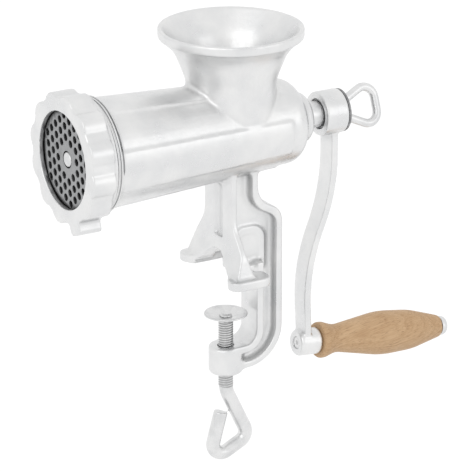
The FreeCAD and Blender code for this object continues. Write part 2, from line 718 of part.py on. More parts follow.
def add_hopper(body):
    hopper = new_sketch(body, "XZ_Plane", (S.hopper_offset, S.barrel_height, 0))
    band_bottom = S.rim_height - S.rim_band
    draw_outline(hopper, [
        (0, 0),
        (S.neck_radius, 0),
        *hopper_profile(0, S.rim_outer_radius - S.rim_step, band_bottom),
        (S.rim_outer_radius, band_bottom),
        (S.rim_outer_radius, S.rim_height),
        (0, S.rim_height),
    ])
    revolve(body, hopper, "V_Axis")


def hollow_casting(body):
    """Cut the auger bore, the plate seat, the shaft hole, the funnel and the screw and pin holes."""
    shaft_hole = S.journal_radius + S.running_clearance
    bore = new_sketch(body, "XZ_Plane", (0, S.barrel_height, 0))
    draw_outline(bore, [
        (mouth_x - S.plate_seat_depth, 0),
        (mouth_x - S.plate_seat_depth, plate_seat_radius),
        (plate_seat_x, plate_seat_radius),
        (plate_seat_x, bore_front_radius),
        (chamber_end_x, bore_rear_radius),
        (chamber_end_x, shaft_hole),
        (boss_end_x + S.crank_gap, shaft_hole),
        (boss_end_x + S.crank_gap, 0),
    ])
    revolve(body, bore, cut=True)
    funnel = new_sketch(body, "XZ_Plane", (S.hopper_offset, S.barrel_height, 0))
    draw_outline(funnel, [
        (0, 0),
        (throat_radius, 0),
        *hopper_profile(S.hopper_wall, S.rim_inner_radius, S.rim_height),
        (S.rim_inner_radius, S.rim_height + S.rim_band),
        (0, S.rim_height + S.rim_band),
    ])
    revolve(body, funnel, "V_Axis", cut=True)
    screw_hole = new_sketch(body, "XY_Plane", (0, 0, -S.throat_height / 2))
    draw_circle(screw_hole, 0, 0, S.clamp_thread_radius + S.thread_clearance)
    pocket(body, screw_hole, S.throat_height + S.screw_boss_height)
    groove = new_sketch(body, "YZ_Plane", (0, 0, -S.flange_front))
    groove_half = S.flange_groove_half
    groove_top = S.barrel_height - barrel_front_radius
    draw_outline(groove, box_points(-groove_half, S.flange_groove_end, groove_half, groove_top))
    pocket(body, groove, S.flange_groove_depth, reverse=True)
    key_hole = new_sketch(body, "XY_Plane", (0, 0, S.barrel_height))
    draw_circle(key_hole, mouth_x + S.key_depth, 0, S.key_radius + S.running_clearance)
    pocket(body, key_hole, mouth_thread_radius)


def make_body_casting():
    body = new_body("body_casting")
    add_legs(body)
    add_feet(body)
    add_clamp_frame(body)
    add_jaw_gusset(body)
    add_screw_boss(body)
    add_barrel(body)
    add_hopper(body)
    hollow_casting(body)


def make_plate_key_pin():
    """Pin through the mouth's wall that keeps the plate from turning."""
    body = new_body("plate_key_pin")
    place(body, mouth_x + S.key_depth, 0, S.barrel_height - mouth_root_radius)
    sketch = new_sketch(body, "XY_Plane")
    draw_circle(sketch, 0, 0, S.key_radius)
    pad(body, sketch, mouth_root_radius - plate_seat_radius + S.key_reach)


# Outlet: ring nut, plate and knife


def make_ring_nut():
    body = new_body("ring_nut")
    place(body, ring_front_x, 0, S.barrel_height)
    rim_radius = ring_bore_radius + S.ring_rim_wall
    turned = new_sketch(body, "XZ_Plane")
    draw_outline(turned, [
        (0, 0),
        (0, ring_valley_radius, S.ring_edge_round),
        (S.ring_lobe_length, ring_valley_radius),
        (S.ring_lobe_length, rim_radius),
        (S.ring_length, rim_radius),
        (S.ring_length, 0),
    ])
    revolve(body, turned)
    lobe_sketch = new_sketch(body, "YZ_Plane", turn=((0, 0, 1), S.lobe_turn))
    draw_circle(lobe_sketch, 0, ring_valley_radius + S.lobe_rise - S.lobe_radius, S.lobe_radius)
    lobe = pad(body, lobe_sketch, S.ring_lobe_length)
    repeat_round(body, lobe, turned, S.lobe_count)
    lug = new_sketch(body, "YZ_Plane", turn=((0, 0, 1), S.lug_turn))
    side, top = S.lug_width / 2, ring_valley_radius + S.lug_rise
    draw_outline(lug, [
        (-side, ring_opening_radius), (side, ring_opening_radius),
        (side, top, S.lug_round), (-side, top, S.lug_round),
    ])
    pad(body, lug, S.ring_lobe_length)
    bore = new_sketch(body, "XZ_Plane")
    draw_outline(bore, [
        (-S.ring_lip, 0), (-S.ring_lip, ring_opening_radius),
        (S.ring_lip, ring_opening_radius), (S.ring_lip, ring_bore_radius),
        (S.ring_length * 2, ring_bore_radius), (S.ring_length * 2, 0),
    ])
    revolve(body, bore, cut=True)


def make_grinding_plate():
    """Disc with holes on a triangular grid: one sixth of the holes, repeated round."""
    body = new_body("grinding_plate")
    place(body, plate_front_x, 0, S.barrel_height)
    disc = new_sketch(body, "YZ_Plane")
    draw_circle(disc, 0, 0, S.plate_radius)
    draw_circle(disc, 0, 0, S.plate_eye_radius)
    pad(body, disc, S.plate_thickness)
    notch = new_sketch(body, "YZ_Plane")
    notch_half = S.key_radius + S.running_clearance * 2
    notch_depth = S.plate_radius - S.key_reach - S.running_clearance * 4
    draw_outline(notch, box_points(-notch_half, -S.plate_radius - S.key_reach, notch_half, -notch_depth))
    pocket(body, notch, S.plate_thickness, reverse=True)
    sixth = new_sketch(body, "YZ_Plane", turn=((0, 0, 1), S.plate_hole_turn))
    inner_ring, outer_ring = 2, 4
    pitch = (S.plate_radius - S.plate_border) / outer_ring
    for ring in range(inner_ring, outer_ring + 1):
        for step in range(ring):
            across = pitch * (step * math.sin(math.pi / 3))
            up = pitch * (ring - step * math.cos(math.pi / 3))
            draw_circle(sixth, across, up, S.plate_hole_radius)
    holes = pocket(body, sixth, S.plate_thickness, reverse=True)
    repeat_round(body, holes, disc, 6, "N_Axis")


def make_cross_knife():
    body = new_body("cross_knife")
    place(body, knife_front_x, 0, S.barrel_height)
    hub = new_sketch(body, "YZ_Plane")
    draw_circle(hub, 0, 0, S.knife_hub_radius)
    pad(body, hub, S.knife_thickness)
    blade_sketch = new_sketch(body, "YZ_Plane")
    side, tip = S.blade_width / 2, S.plate_radius - S.knife_inset
    draw_outline(blade_sketch, [
        (-side, 0), (side, 0), (side, tip), (-side / 2, tip, S.blade_round),
    ])
    blade = pad(body, blade_sketch, S.blade_thickness)
    repeat_round(body, blade, hub, 4, "N_Axis")
    eye = new_sketch(body, "YZ_Plane")
    hole = S.front_tang / 2 + S.running_clearance
    draw_outline(eye, box_points(-hole, -hole, hole, hole))
    pocket(body, eye, S.knife_thickness, reverse=True)


# Drive: auger, stud, washers and crank


def make_auger():
    """Worm with its flight, the square for the knife, the shaft and the square for the crank."""
    body = new_body("auger")
    place(body, 0, 0, S.barrel_height)
    core_x = knife_back_x + S.face_clearance
    turned = new_sketch(body, "XZ_Plane")
    draw_outline(turned, [
        (core_x, 0),
        (core_x, S.core_front_radius),
        (collar_back_x - S.collar_thickness, S.core_rear_radius),
        (collar_back_x - S.collar_thickness, collar_radius),
        (collar_back_x, collar_radius),
        (collar_back_x, S.journal_radius),
        (hub_x + S.hub_recess_depth - S.face_clearance, S.journal_radius),
        (hub_x + S.hub_recess_depth - S.face_clearance, 0),
    ])
    revolve(body, turned)
    flight_end = collar_back_x - S.collar_thickness - S.flight_end_gap
    flight_length = flight_end - plate_seat_x - S.flight_root
    taper = (bore_front_radius - bore_rear_radius) / (chamber_end_x - plate_seat_x)
    edge = bore_front_radius - S.flight_clearance - taper * S.flight_root
    root = S.core_front_radius / 2 + taper * flight_length
    start = plate_seat_x + S.flight_root / 2 + S.flight_clearance
    flight = new_sketch(body, "XZ_Plane")
    draw_outline(flight, [
        (start - S.flight_root / 2, root), (start + S.flight_root / 2, root),
        (start + S.flight_tip / 2, edge), (start - S.flight_tip / 2, edge),
    ])
    helix = feature_on(body, "AdditiveHelix", flight)
    helix.ReferenceAxis = (flight, ["H_Axis"])
    helix.Mode = "pitch-height-angle"
    helix.setExpression("Pitch", S.flight_pitch.text)
    helix.setExpression("Height", flight_length.text)
    helix.setExpression("Angle", f"atan(0 - {taper.text})")
    helix.LeftHanded = True
    checked(body, helix, True)
    for start_x, end_x, across in (
        (core_x - S.knife_thickness, core_x + S.face_clearance, S.front_tang),
        (hub_x + S.hub_recess_depth - S.face_clearance, tang_end_x, S.drive_tang),
    ):
        tang = new_sketch(body, "YZ_Plane", (0, 0, start_x))
        draw_outline(tang, box_points(-across / 2, -across / 2, across / 2, across / 2))
        pad(body, tang, end_x - start_x)
    screw_hole = new_sketch(body, "YZ_Plane", (0, 0, tang_end_x))
    draw_circle(screw_hole, 0, 0, S.thumb_stem_radius + S.thread_clearance)
    pocket(body, screw_hole, S.thumb_stem_length)
    stud_hole = new_sketch(body, "YZ_Plane", (0, 0, core_x - S.knife_thickness))
    draw_circle(stud_hole, 0, 0, S.stud_shank_radius + S.running_clearance)
    pocket(body, stud_hole, S.stud_depth, reverse=True)


def make_auger_stud():
    """Headed pin in the auger's front end: the head turns in the eye of the plate."""
    body = new_body("auger_stud")
    front_x = plate_front_x - S.stud_proud
    place(body, front_x, 0, S.barrel_height)
    tang_x = knife_back_x + S.face_clearance - S.knife_thickness
    head = tang_x - front_x
    length = head + S.stud_depth - S.face_clearance
    sketch = new_sketch(body, "XZ_Plane")
    draw_outline(sketch, [
        (0, 0), (0, S.stud_radius, S.stud_round), (head, S.stud_radius),
        (head, S.stud_shank_radius), (length, S.stud_shank_radius), (length, 0),
    ])
    revolve(body, sketch)


def make_disc_washer(label, x, thickness, outer, inner):
    body = new_body(label)
    place(body, x, 0, S.barrel_height)
    sketch = new_sketch(body, "YZ_Plane")
    draw_circle(sketch, 0, 0, outer)
    draw_circle(sketch, 0, 0, inner)
    pad(body, sketch, thickness)


# The grip's axis runs through the crank's lower boss and falls away outwards
grip_boss_x = hub_x - S.grip_boss_setback
grip_axis_z = S.barrel_height - S.crank_throw


def arm_side(offset):
    """One face of the crank's bent bar, that far from its middle line, from hub to lower boss."""
    top_x = S.crank_arm_middle + offset
    low_x = top_x - S.crank_set
    return [
        (top_x, -S.hub_radius / 2),
        (top_x, -S.crank_bend_top, S.crank_bend_round),
        (low_x, -S.crank_bend_low, S.crank_bend_round),
        (low_x + S.crank_arm_thickness / 2, -S.crank_throw),
    ]


def make_crank_arm():
    body = new_body("crank_arm")
    place(body, hub_x, 0, S.barrel_height)
    side = new_sketch(body, "XZ_Plane")
    half = S.crank_arm_thickness / 2
    draw_outline(side, arm_side(-half) + arm_side(half)[::-1])
    pad(body, side, S.crank_arm_top_width, symmetric=True)
    top_half, low_half = S.crank_arm_top_width / 2, S.crank_arm_low_width / 2
    taper = new_sketch(body, "YZ_Plane", (0, 0, -FAR / 2))
    for hand in (1, -1):
        draw_outline(taper, [
            (top_half * hand, 0), (low_half * hand, -S.crank_throw),
            (S.crank_arm_top_width * hand, -S.crank_throw), (S.crank_arm_top_width * hand, 0),
        ])
    pocket(body, taper, FAR, reverse=True)
    hub = new_sketch(body, "XZ_Plane")
    draw_outline(hub, [
        (0, 0), (0, S.hub_radius, S.hub_round),
        (S.hub_length, S.hub_radius, S.hub_round), (S.hub_length, 0),
    ])
    revolve(body, hub)
    boss_at = (-S.grip_boss_setback, -S.crank_throw, 0)
    boss = new_sketch(body, "XZ_Plane", boss_at, ((0, 0, 1), -S.grip_droop))
    draw_outline(boss, [
        (0, 0), (0, S.grip_boss_radius, S.grip_boss_round),
        (S.grip_boss_length, S.grip_boss_radius, S.grip_boss_round / 4), (S.grip_boss_length, 0),
    ])
    revolve(body, boss)
    pin_hole = new_sketch(body, "XZ_Plane", boss_at, ((0, 0, 1), -S.grip_droop))
    reach = S.grip_boss_length * 2
    radius = S.spindle_radius + S.running_clearance
    draw_outline(pin_hole, [(-reach, 0), (-reach, radius), (reach, radius), (reach, 0)])
    revolve(body, pin_hole, cut=True)
    recess = new_sketch(body, "YZ_Plane")
    draw_circle(recess, 0, 0, hub_recess_radius)
    pocket(body, recess, S.hub_recess_depth, reverse=True)
    eye = new_sketch(body, "YZ_Plane")
    hole = S.drive_tang / 2 + S.running_clearance
    draw_outline(eye, box_points(-hole, -hole, hole, hole))
    pocket(body, eye, S.hub_length, reverse=True)


def turn_to_grip(body):
    """Set a body that was made along its own X on the drooping axis of the grip."""
    turn_body(body, (0, 1, 0), S.grip_droop)
    place(body, grip_boss_x, 0, grip_axis_z)


def make_handle_spindle():
    """Pin riveted into the lower boss, through the grip to its cap."""
    body = new_body("handle_spindle")
    turn_to_grip(body)
    grip_end = S.grip_boss_length + S.grip_gap + S.grip_length
    cap_start = grip_end + S.grip_gap
    sketch = new_sketch(body, "XZ_Plane")
    draw_outline(sketch, [
        (S.spindle_sink + S.rivet_eye_depth, 0),
        (S.spindle_sink + S.rivet_eye_depth, S.rivet_eye_radius / 2),
        (S.spindle_sink, S.rivet_eye_radius),
        (S.spindle_sink, S.spindle_radius),
        (cap_start, S.spindle_radius),
        (cap_start, S.spindle_cap_radius, S.screw_edge_round),
        (cap_start + S.spindle_cap_length, S.spindle_cap_radius, S.spindle_cap_round),
        (cap_start + S.spindle_cap_length, 0),
    ])
    revolve(body, sketch)


def make_wooden_grip():
    body = new_body("wooden_grip")
    turn_to_grip(body)
    start = S.grip_boss_length + S.grip_gap
    bore = S.spindle_radius + S.running_clearance
    sketch = new_sketch(body, "XZ_Plane")
    draw_outline(sketch, [
        (start, bore),
        (start, S.grip_flange_radius, S.grip_edge_round),
        (start + S.grip_flange_length, S.grip_flange_radius, S.grip_edge_round),
        (start + S.grip_neck_place, S.grip_neck_radius, S.grip_neck_round),
        (start + S.grip_belly_place, S.grip_belly_radius, S.grip_belly_round),
        (start + S.grip_shoulder_place, S.grip_shoulder_radius, S.grip_shoulder_round),
        (start + S.grip_length, S.grip_end_radius, S.grip_edge_round),
        (start + S.grip_length, bore),
    ])
    revolve(body, sketch)


def make_thumb_screw():
    """Stem, collar and triangular loop, turned to the angle at which it stands."""
    body = new_body("thumb_screw")
    turn_body(body, (1, 0, 0), S.thumb_turn)
    place(body, hub_end_x + S.thumb_washer_thickness + S.face_clearance, 0, S.barrel_height)
    stem = new_sketch(body, "XZ_Plane")
    draw_outline(stem, [
        (-S.thumb_stem_length, 0), (-S.thumb_stem_length, S.thumb_stem_radius, S.screw_edge_round),
        (0, S.thumb_stem_radius), (0, S.thumb_collar_radius, S.screw_edge_round),
        (S.thumb_collar_length, S.thumb_collar_radius, S.screw_edge_round), (S.thumb_collar_length, 0),
    ])
    revolve(body, stem)
    strand_x = S.thumb_wire_radius / 2
    path = new_sketch(body, "XZ_Plane")
    draw_outline(path, [
        (strand_x, S.thumb_loop_start),
        (S.thumb_loop_reach, S.thumb_loop_half, S.thumb_loop_round),
        (S.thumb_loop_reach, 0),
    ], closed=False)
    section = new_sketch(body, "XY_Plane")
    draw_circle(section, S.thumb_loop_reach, 0, S.thumb_wire_radius)
    strand = sweep(body, section, path)
    mirror(body, strand, "XY_Plane")


# Clamp: pad and screw


def make_clamp_pad():
    """Dished disc that presses up under the table."""
    body = new_body("clamp_pad")
    place(body, 0, 0, -S.table_gap)
    hole = S.pad_pin_radius + S.running_clearance
    low = -S.pad_dish
    sketch = new_sketch(body, "XZ_Plane")
    draw_outline(sketch, [
        (hole, low),
        (S.pad_seat_radius, low),
        (S.pad_radius, 0, S.screw_edge_round),
        (S.pad_radius, -S.pad_thickness / 2),
        (S.pad_seat_radius, low - S.pad_thickness),
        (hole, low - S.pad_thickness),
    ])
    revolve(body, sketch, "V_Axis")


def make_clamp_screw():
    """Rod with the pin and peened head that hold the pad, bent into a loop below."""
    body = new_body("clamp_screw")
    dish = -S.table_gap - S.pad_dish
    shoulder = dish - S.pad_thickness - S.face_clearance
    rod_end = -S.loop_neck + S.loop_neck_round / 2
    rod = new_sketch(body, "XZ_Plane")
    head = dish + S.face_clearance
    draw_outline(rod, [
        (0, rod_end),
        (rod_root_radius, rod_end),
        (rod_root_radius, shoulder, S.screw_edge_round),
        (S.pad_pin_radius, shoulder),
        (S.pad_pin_radius, head),
        (S.pad_head_radius, head),
        (S.pad_head_radius / 2, head + S.pad_head_height),
        (0, head + S.pad_head_height),
    ])
    revolve(body, rod, "V_Axis")
    path = new_sketch(body, "XZ_Plane")
    draw_outline(path, [
        (0, rod_end),
        (0, -S.loop_neck, S.loop_neck_round),
        (S.loop_side_reach, -S.loop_side_drop, S.loop_side_round),
        (-S.loop_toe_reach, -S.loop_toe_drop, S.loop_toe_round),
        (-S.loop_end_reach, -S.loop_end_drop),
    ], closed=False)
    section = new_sketch(body, "XY_Plane", (0, 0, rod_end))
    draw_circle(section, 0, 0, rod_root_radius + S.loop_swell)
    sweep(body, section, path)


def make_all():
    make_body_casting()
    make_plate_key_pin()
    make_ring_nut()
    make_grinding_plate()
    make_cross_knife()
    make_auger()
    make_auger_stud()
    washer_hole = S.journal_radius + S.running_clearance
    make_disc_washer(
        "thrust_washer", chamber_end_x - S.thrust_washer_thickness, S.thrust_washer_thickness,
        collar_radius, washer_hole,
    )
    make_crank_arm()
    make_handle_spindle()
    make_wooden_grip()
    make_disc_washer(
        "thumb_screw_washer", hub_end_x, S.thumb_washer_thickness,
        S.thumb_washer_radius, S.thumb_stem_radius + S.thread_clearance,
    )
    make_thumb_screw()
    make_clamp_pad()
    make_clamp_screw()


def check_and_write():
    """Stop on any failed object or bad solid, then write one file for each piece."""
    doc.recompute()
    for item in doc.Objects:
        if "Invalid" in item.State or "Error" in item.State:
            raise RuntimeError(f"{item.Name} failed: {item.State}")
    bodies = [item for item in doc.Objects if item.TypeId == "PartDesign::Body"]
    for body in bodies:
        shape = body.Shape
        if shape.isNull() or not shape.isValid() or len(shape.Solids) != 1:
            raise RuntimeError(f"{body.Label} is not one valid solid")
    os.makedirs("parts", exist_ok=True)
    for body in bodies:
        body.Shape.exportStep(os.path.join("parts", body.Label + ".step"))
        box = body.Shape.BoundBox
        print(
            f"{body.Label}: {body.Shape.Volume / 1000:.2f} cm3,"
            f" x {box.XMin:.1f} to {box.XMax:.1f},"
            f" y {box.YMin:.1f} to {box.YMax:.1f},"
            f" z {box.ZMin:.1f} to {box.ZMax:.1f}"
        )


make_all()
check_and_write()
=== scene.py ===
import json
import math

import bpy
from bpy.props import FloatProperty, FloatVectorProperty, IntProperty, PointerProperty
from bpy.types import Operator, Panel, PropertyGroup
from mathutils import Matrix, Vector


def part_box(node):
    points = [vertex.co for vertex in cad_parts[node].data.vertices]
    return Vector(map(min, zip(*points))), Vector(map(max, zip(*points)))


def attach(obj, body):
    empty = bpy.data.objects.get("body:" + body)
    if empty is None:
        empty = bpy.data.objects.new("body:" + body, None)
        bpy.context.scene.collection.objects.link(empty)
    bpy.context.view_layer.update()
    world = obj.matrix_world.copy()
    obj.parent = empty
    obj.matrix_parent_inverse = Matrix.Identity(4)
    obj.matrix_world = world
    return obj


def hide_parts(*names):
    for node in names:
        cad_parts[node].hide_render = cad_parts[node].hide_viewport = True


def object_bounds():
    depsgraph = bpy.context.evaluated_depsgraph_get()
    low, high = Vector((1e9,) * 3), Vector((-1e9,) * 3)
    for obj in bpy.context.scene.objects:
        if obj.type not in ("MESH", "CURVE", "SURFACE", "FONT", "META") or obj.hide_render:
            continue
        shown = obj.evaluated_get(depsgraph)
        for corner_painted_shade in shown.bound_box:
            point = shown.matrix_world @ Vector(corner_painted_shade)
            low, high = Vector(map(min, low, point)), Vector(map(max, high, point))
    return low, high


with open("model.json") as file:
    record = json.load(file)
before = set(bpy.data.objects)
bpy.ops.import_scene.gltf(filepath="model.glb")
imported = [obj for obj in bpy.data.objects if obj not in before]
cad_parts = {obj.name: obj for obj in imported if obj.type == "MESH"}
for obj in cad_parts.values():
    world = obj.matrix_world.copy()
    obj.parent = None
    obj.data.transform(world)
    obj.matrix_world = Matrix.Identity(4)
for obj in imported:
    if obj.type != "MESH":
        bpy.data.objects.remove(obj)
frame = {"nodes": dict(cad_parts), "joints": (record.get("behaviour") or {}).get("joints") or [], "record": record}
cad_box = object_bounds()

bl_info = {
    "name": "Meat Grinder Looks",
    "version": (1, 0, 0),
    "blender": (4, 5, 0),
    "location": "View3D > Sidebar > Grinder",
    "description": "Finishes the pieces of a hand crank meat grinder round its packed model",
    "category": "Object",
}

NODES = frame["nodes"]
BODY_OF = {node: body for body, nodes in frame["record"]["behaviour"]["bodies"].items() for node in nodes}
JOINTS = {joint["name"]: joint for joint in frame["joints"]}
PLATE_LOW, PLATE_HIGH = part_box("grinding_plate")
BARREL_AXIS_Z = (PLATE_LOW.z + PLATE_HIGH.z) / 2
CLAMP_DROP = {
    joint["name"]: joint.get("range_m") for joint in frame["record"]["behaviour"]["joints"]}["pad_slide"][0]
GRIP_START = Vector(JOINTS["grip_spin"]["pos_m"])
GRIP_AXIS = Vector(JOINTS["grip_spin"]["axis"])
GRIP_DROOP = math.atan2(-GRIP_AXIS.z, GRIP_AXIS.x)
MERGE_DISTANCE = 1e-6
FLAT_ANGLE = math.radians(0.5)
SHARP_ANGLE = math.radians(32)
THREAD_ANGLE = math.radians(60)
THREAD_POINTS = 8
THREAD_STEPS = 64
THREAD_HALF_WIDTH = 0.36
SPARE_TURNS = 2
CAMERA_REACH = 50.0
WHITE = (1.0, 1.0, 1.0)
ALONG_X = (1.0, 0.0, 0.0)
ALONG_Z = (0.0, 0.0, 1.0)
ACROSS_X = (0.0, 1.0, 1.0)


# Properties


def length(name, description, default, **more):
    return FloatProperty(
        name=name, description=description, default=default, subtype="DISTANCE", unit="LENGTH",
        precision=5, **more)


def colour(name, description, default):
    return FloatVectorProperty(
        name=name, description=description, default=default, subtype="COLOR", size=3, min=0.0, max=1.0)


def number(name, description, default):
    return FloatProperty(name=name, description=description, default=default)


def count(name, description, default):
    return IntProperty(name=name, description=description, default=default)


def numbers(name, description, default):
    return FloatVectorProperty(name=name, description=description, default=default, size=len(default))


def place_of(name, description, default):
    return FloatVectorProperty(
        name=name, description=description, default=default, subtype="TRANSLATION", unit="LENGTH")


class GrinderCasting(PropertyGroup):
    """Sizes of the rounding on the cast pieces and the colours of their tin."""
    body_voxel: length("Body voxel", "Grid on which the body casting is rounded", 0.00065)
    body_fillet: length("Body fillet", "Rounding in the inner corners of the body casting", 0.0012)
    body_passes: count("Body passes", "Smoothing of the body casting", 4)
    small_voxel: length("Small voxel", "Grid on which the small castings are rounded", 0.00045)
    small_fillet: length("Small fillet", "Rounding in the inner corners of the small castings", 0.0006)
    small_passes: count("Small passes", "Smoothing of the small castings", 4)
    triangle_limit: count("Triangles", "Most triangles in one casting", 190000)
    tin_light: colour("Tin, bright", "Tin where it lies thick and bright", (0.80, 0.80, 0.797))
    tin_grey: colour("Tin, grey", "Tin where it has dulled", (0.72, 0.724, 0.728))
    # painted shade: the colour and reach of the darkening put into the tin's inner corners
    tin_painted_shade: colour("Tin, corners", "Tin in the inner corners", (0.46, 0.464, 0.468))
    corner_shade_reach: length("Corner reach", "How far a corner darkens the tin beside it", 0.005)
    bore_iron: colour("Bored iron", "Bare iron inside the barrel", (0.24, 0.24, 0.245))
    bore_front: length("Bore front", "Radius that takes in the bore at its front end", 0.0290)
    bore_rear: length("Bore rear", "Radius that takes in the bore at its rear end", 0.0236)
    bore_end: length("Bore end", "Place of the bore's rear end", 0.0370)
    tin_rough: numbers("Tin roughness", "Roughness of the smoothest and the dullest tin", (0.26, 0.40))
    pool_scale: number("Pool scale", "Scale of the bright and dull pools", 55.0)
    skin_scale: number("Skin scale", "Scale of the uneven skin", 330.0)
    grain_scale: number("Grain scale", "Scale of the fine grain", 1900.0)
    skin_depth: length("Skin depth", "Depth of the uneven skin", 0.000204)
    grain_depth: length("Grain depth", "Depth of the fine grain", 0.0000595)


class GrinderThreads(PropertyGroup):
    """Sizes of the screw threads."""
    mouth_front: length("Mouth thread front", "Place where the mouth's thread starts", -0.1026)
    mouth_back: length("Mouth thread back", "Place where the mouth's thread ends", -0.0847)
    mouth_pitch: length("Mouth pitch", "Advance of the mouth's thread in one turn", 0.002)
    mouth_root: length("Mouth root", "Root radius of the mouth's thread", 0.0332)
    mouth_crest: length("Mouth crest", "Crest radius of the mouth's thread", 0.0340)
    clamp_top: length("Clamp thread top", "Height where the clamp screw's thread starts", -0.0305)
    clamp_bottom: length("Clamp thread bottom", "Height where the clamp screw's thread ends", -0.0722)
    clamp_pitch: length("Clamp pitch", "Advance of the clamp screw in one turn", 0.0015)
    clamp_root: length("Clamp root", "Root radius of the clamp screw", 0.0039)
    clamp_crest: length("Clamp crest", "Crest radius of the clamp screw", 0.0045)
    thumb_back: length("Thumb thread back", "Length of thread on the thumb screw", 0.0140)
    thumb_pitch: length("Thumb pitch", "Advance of the thumb screw in one turn", 0.001)
    thumb_root: length("Thumb root", "Root radius of the thumb screw", 0.0029)
    thumb_crest: length("Thumb crest", "Crest radius of the thumb screw", 0.0032)


class GrinderSteel(PropertyGroup):
    """Edges and colours of the machined pieces."""
    edge_break: length("Edge break", "Width of the broken edges", 0.00025)
    bright: colour("Bright steel", "Plated screws, pins and pad", (0.77, 0.77, 0.77))
    bright_dull: colour("Bright steel, dull", "Plating where it has dulled", (0.66, 0.664, 0.668))
    ground: colour("Ground steel", "Plate and knife", (0.42, 0.425, 0.43))
    ground_dark: colour("Ground steel, dark", "Plate and knife between the marks", (0.31, 0.315, 0.32))
    # painted shade: the colour and reach of the darkening put into the holes of the plate and knife
    ground_painted_shade: colour("Ground steel, deep", "Plate and knife inside the holes", (0.02, 0.02, 0.02))
    hole_shade_reach: length("Hole reach", "How far a hole's wall darkens the steel in it", 0.004)
    # painted shade: the colour put into the roots of the threads
    groove_shade: colour("Thread groove", "Dark oil at the root of a thread", (0.24, 0.24, 0.24))
    washer: colour("Washer", "Washer under the thumb screw", (0.23, 0.23, 0.235))
    washer_worn: colour("Washer, worn", "Washer where it has rubbed", (0.42, 0.42, 0.42))
    nylon: colour("Nylon", "Thrust washer", (0.83, 0.82, 0.78))
    nylon_shade: colour("Nylon, shade", "Thrust washer where it has yellowed", (0.74, 0.72, 0.66))
    bright_rough: numbers("Plating roughness", "Roughness of the plating", (0.24, 0.40))
    ground_rough: numbers("Ground roughness", "Roughness of the ground steel", (0.36, 0.52))
    washer_rough: numbers("Washer roughness", "Roughness of the dull and the rubbed washer", (0.5, 0.3))
    nylon_rough: numbers("Nylon roughness", "Roughness of the nylon", (0.42, 0.58))
    plating_scale: number("Plating scale", "Scale of the clouds in the plating", 120.0)
    mark_scale: number("Mark scale", "Scale of the fine marks in the plating", 2400.0)
    mark_depth: length("Mark depth", "Depth of the fine marks in the plating", 0.00001)
    grinding_scale: number("Grinding scale", "Scale of the grinding marks", 2600.0)
    grinding_depth: length("Grinding depth", "Depth of the grinding marks", 0.00002)
    wear_scale: number("Wear scale", "Scale of the wear on the ground steel", 160.0)
    washer_scale: number("Washer scale", "Scale of the rubbed spots on the washer", 420.0)
    washer_depth: length("Washer depth", "Depth of the rubbed spots", 0.00002)
    nylon_scale: number("Nylon scale", "Scale of the clouds in the nylon", 200.0)
    nylon_grain_scale: number("Nylon grain", "Scale of the nylon's moulded grain", 1500.0)
    nylon_grain_depth: length("Nylon grain depth", "Depth of the nylon's moulded grain", 0.00002)


class GrinderGrip(PropertyGroup):
    """Colours and grain of the turned beech grip."""
    wood_light: colour("Beech, light", "Early wood", (0.63, 0.43, 0.25))
    wood_dark: colour("Beech, dark", "Late wood", (0.43, 0.255, 0.125))
    fleck: colour("Flecks", "Small dark rays in the beech", (0.24, 0.125, 0.055))
    grain_slope: FloatProperty(
        name="Grain slope", description="Angle of the grain to the grip", default=math.radians(-14),
        subtype="ANGLE")
    ring_spacing: length("Ring spacing", "Spacing of the growth rings", 0.0032)
    pith: place_of("Pith", "Middle of the growth rings, beside the grip", (0.0, 0.021, -0.034))
    waver_scale: numbers("Waver scale", "Scale of the rings' waver along and across", (14.0, 60.0, 60.0))
    waver: length("Waver", "How far the rings waver", 0.006)
    fibre_scale: numbers("Fibre scale", "Scale of the fibres along and across", (45.0, 1700.0, 1700.0))
    fibre_depth: length("Fibre depth", "Depth of the fibres", 0.00006)
    ray_scale: numbers("Ray scale", "Scale of the flecks along and across", (260.0, 2300.0, 2300.0))
    ray_depth: length("Ray depth", "Depth of the flecks", 0.00004)
    patch_scale: number("Patch scale", "Scale of the darker patches", 60.0)
    wood_rough: numbers("Beech roughness", "Roughness of the beech", (0.42, 0.6))
    passes: count("Passes", "Smoothing of the grip", 5)


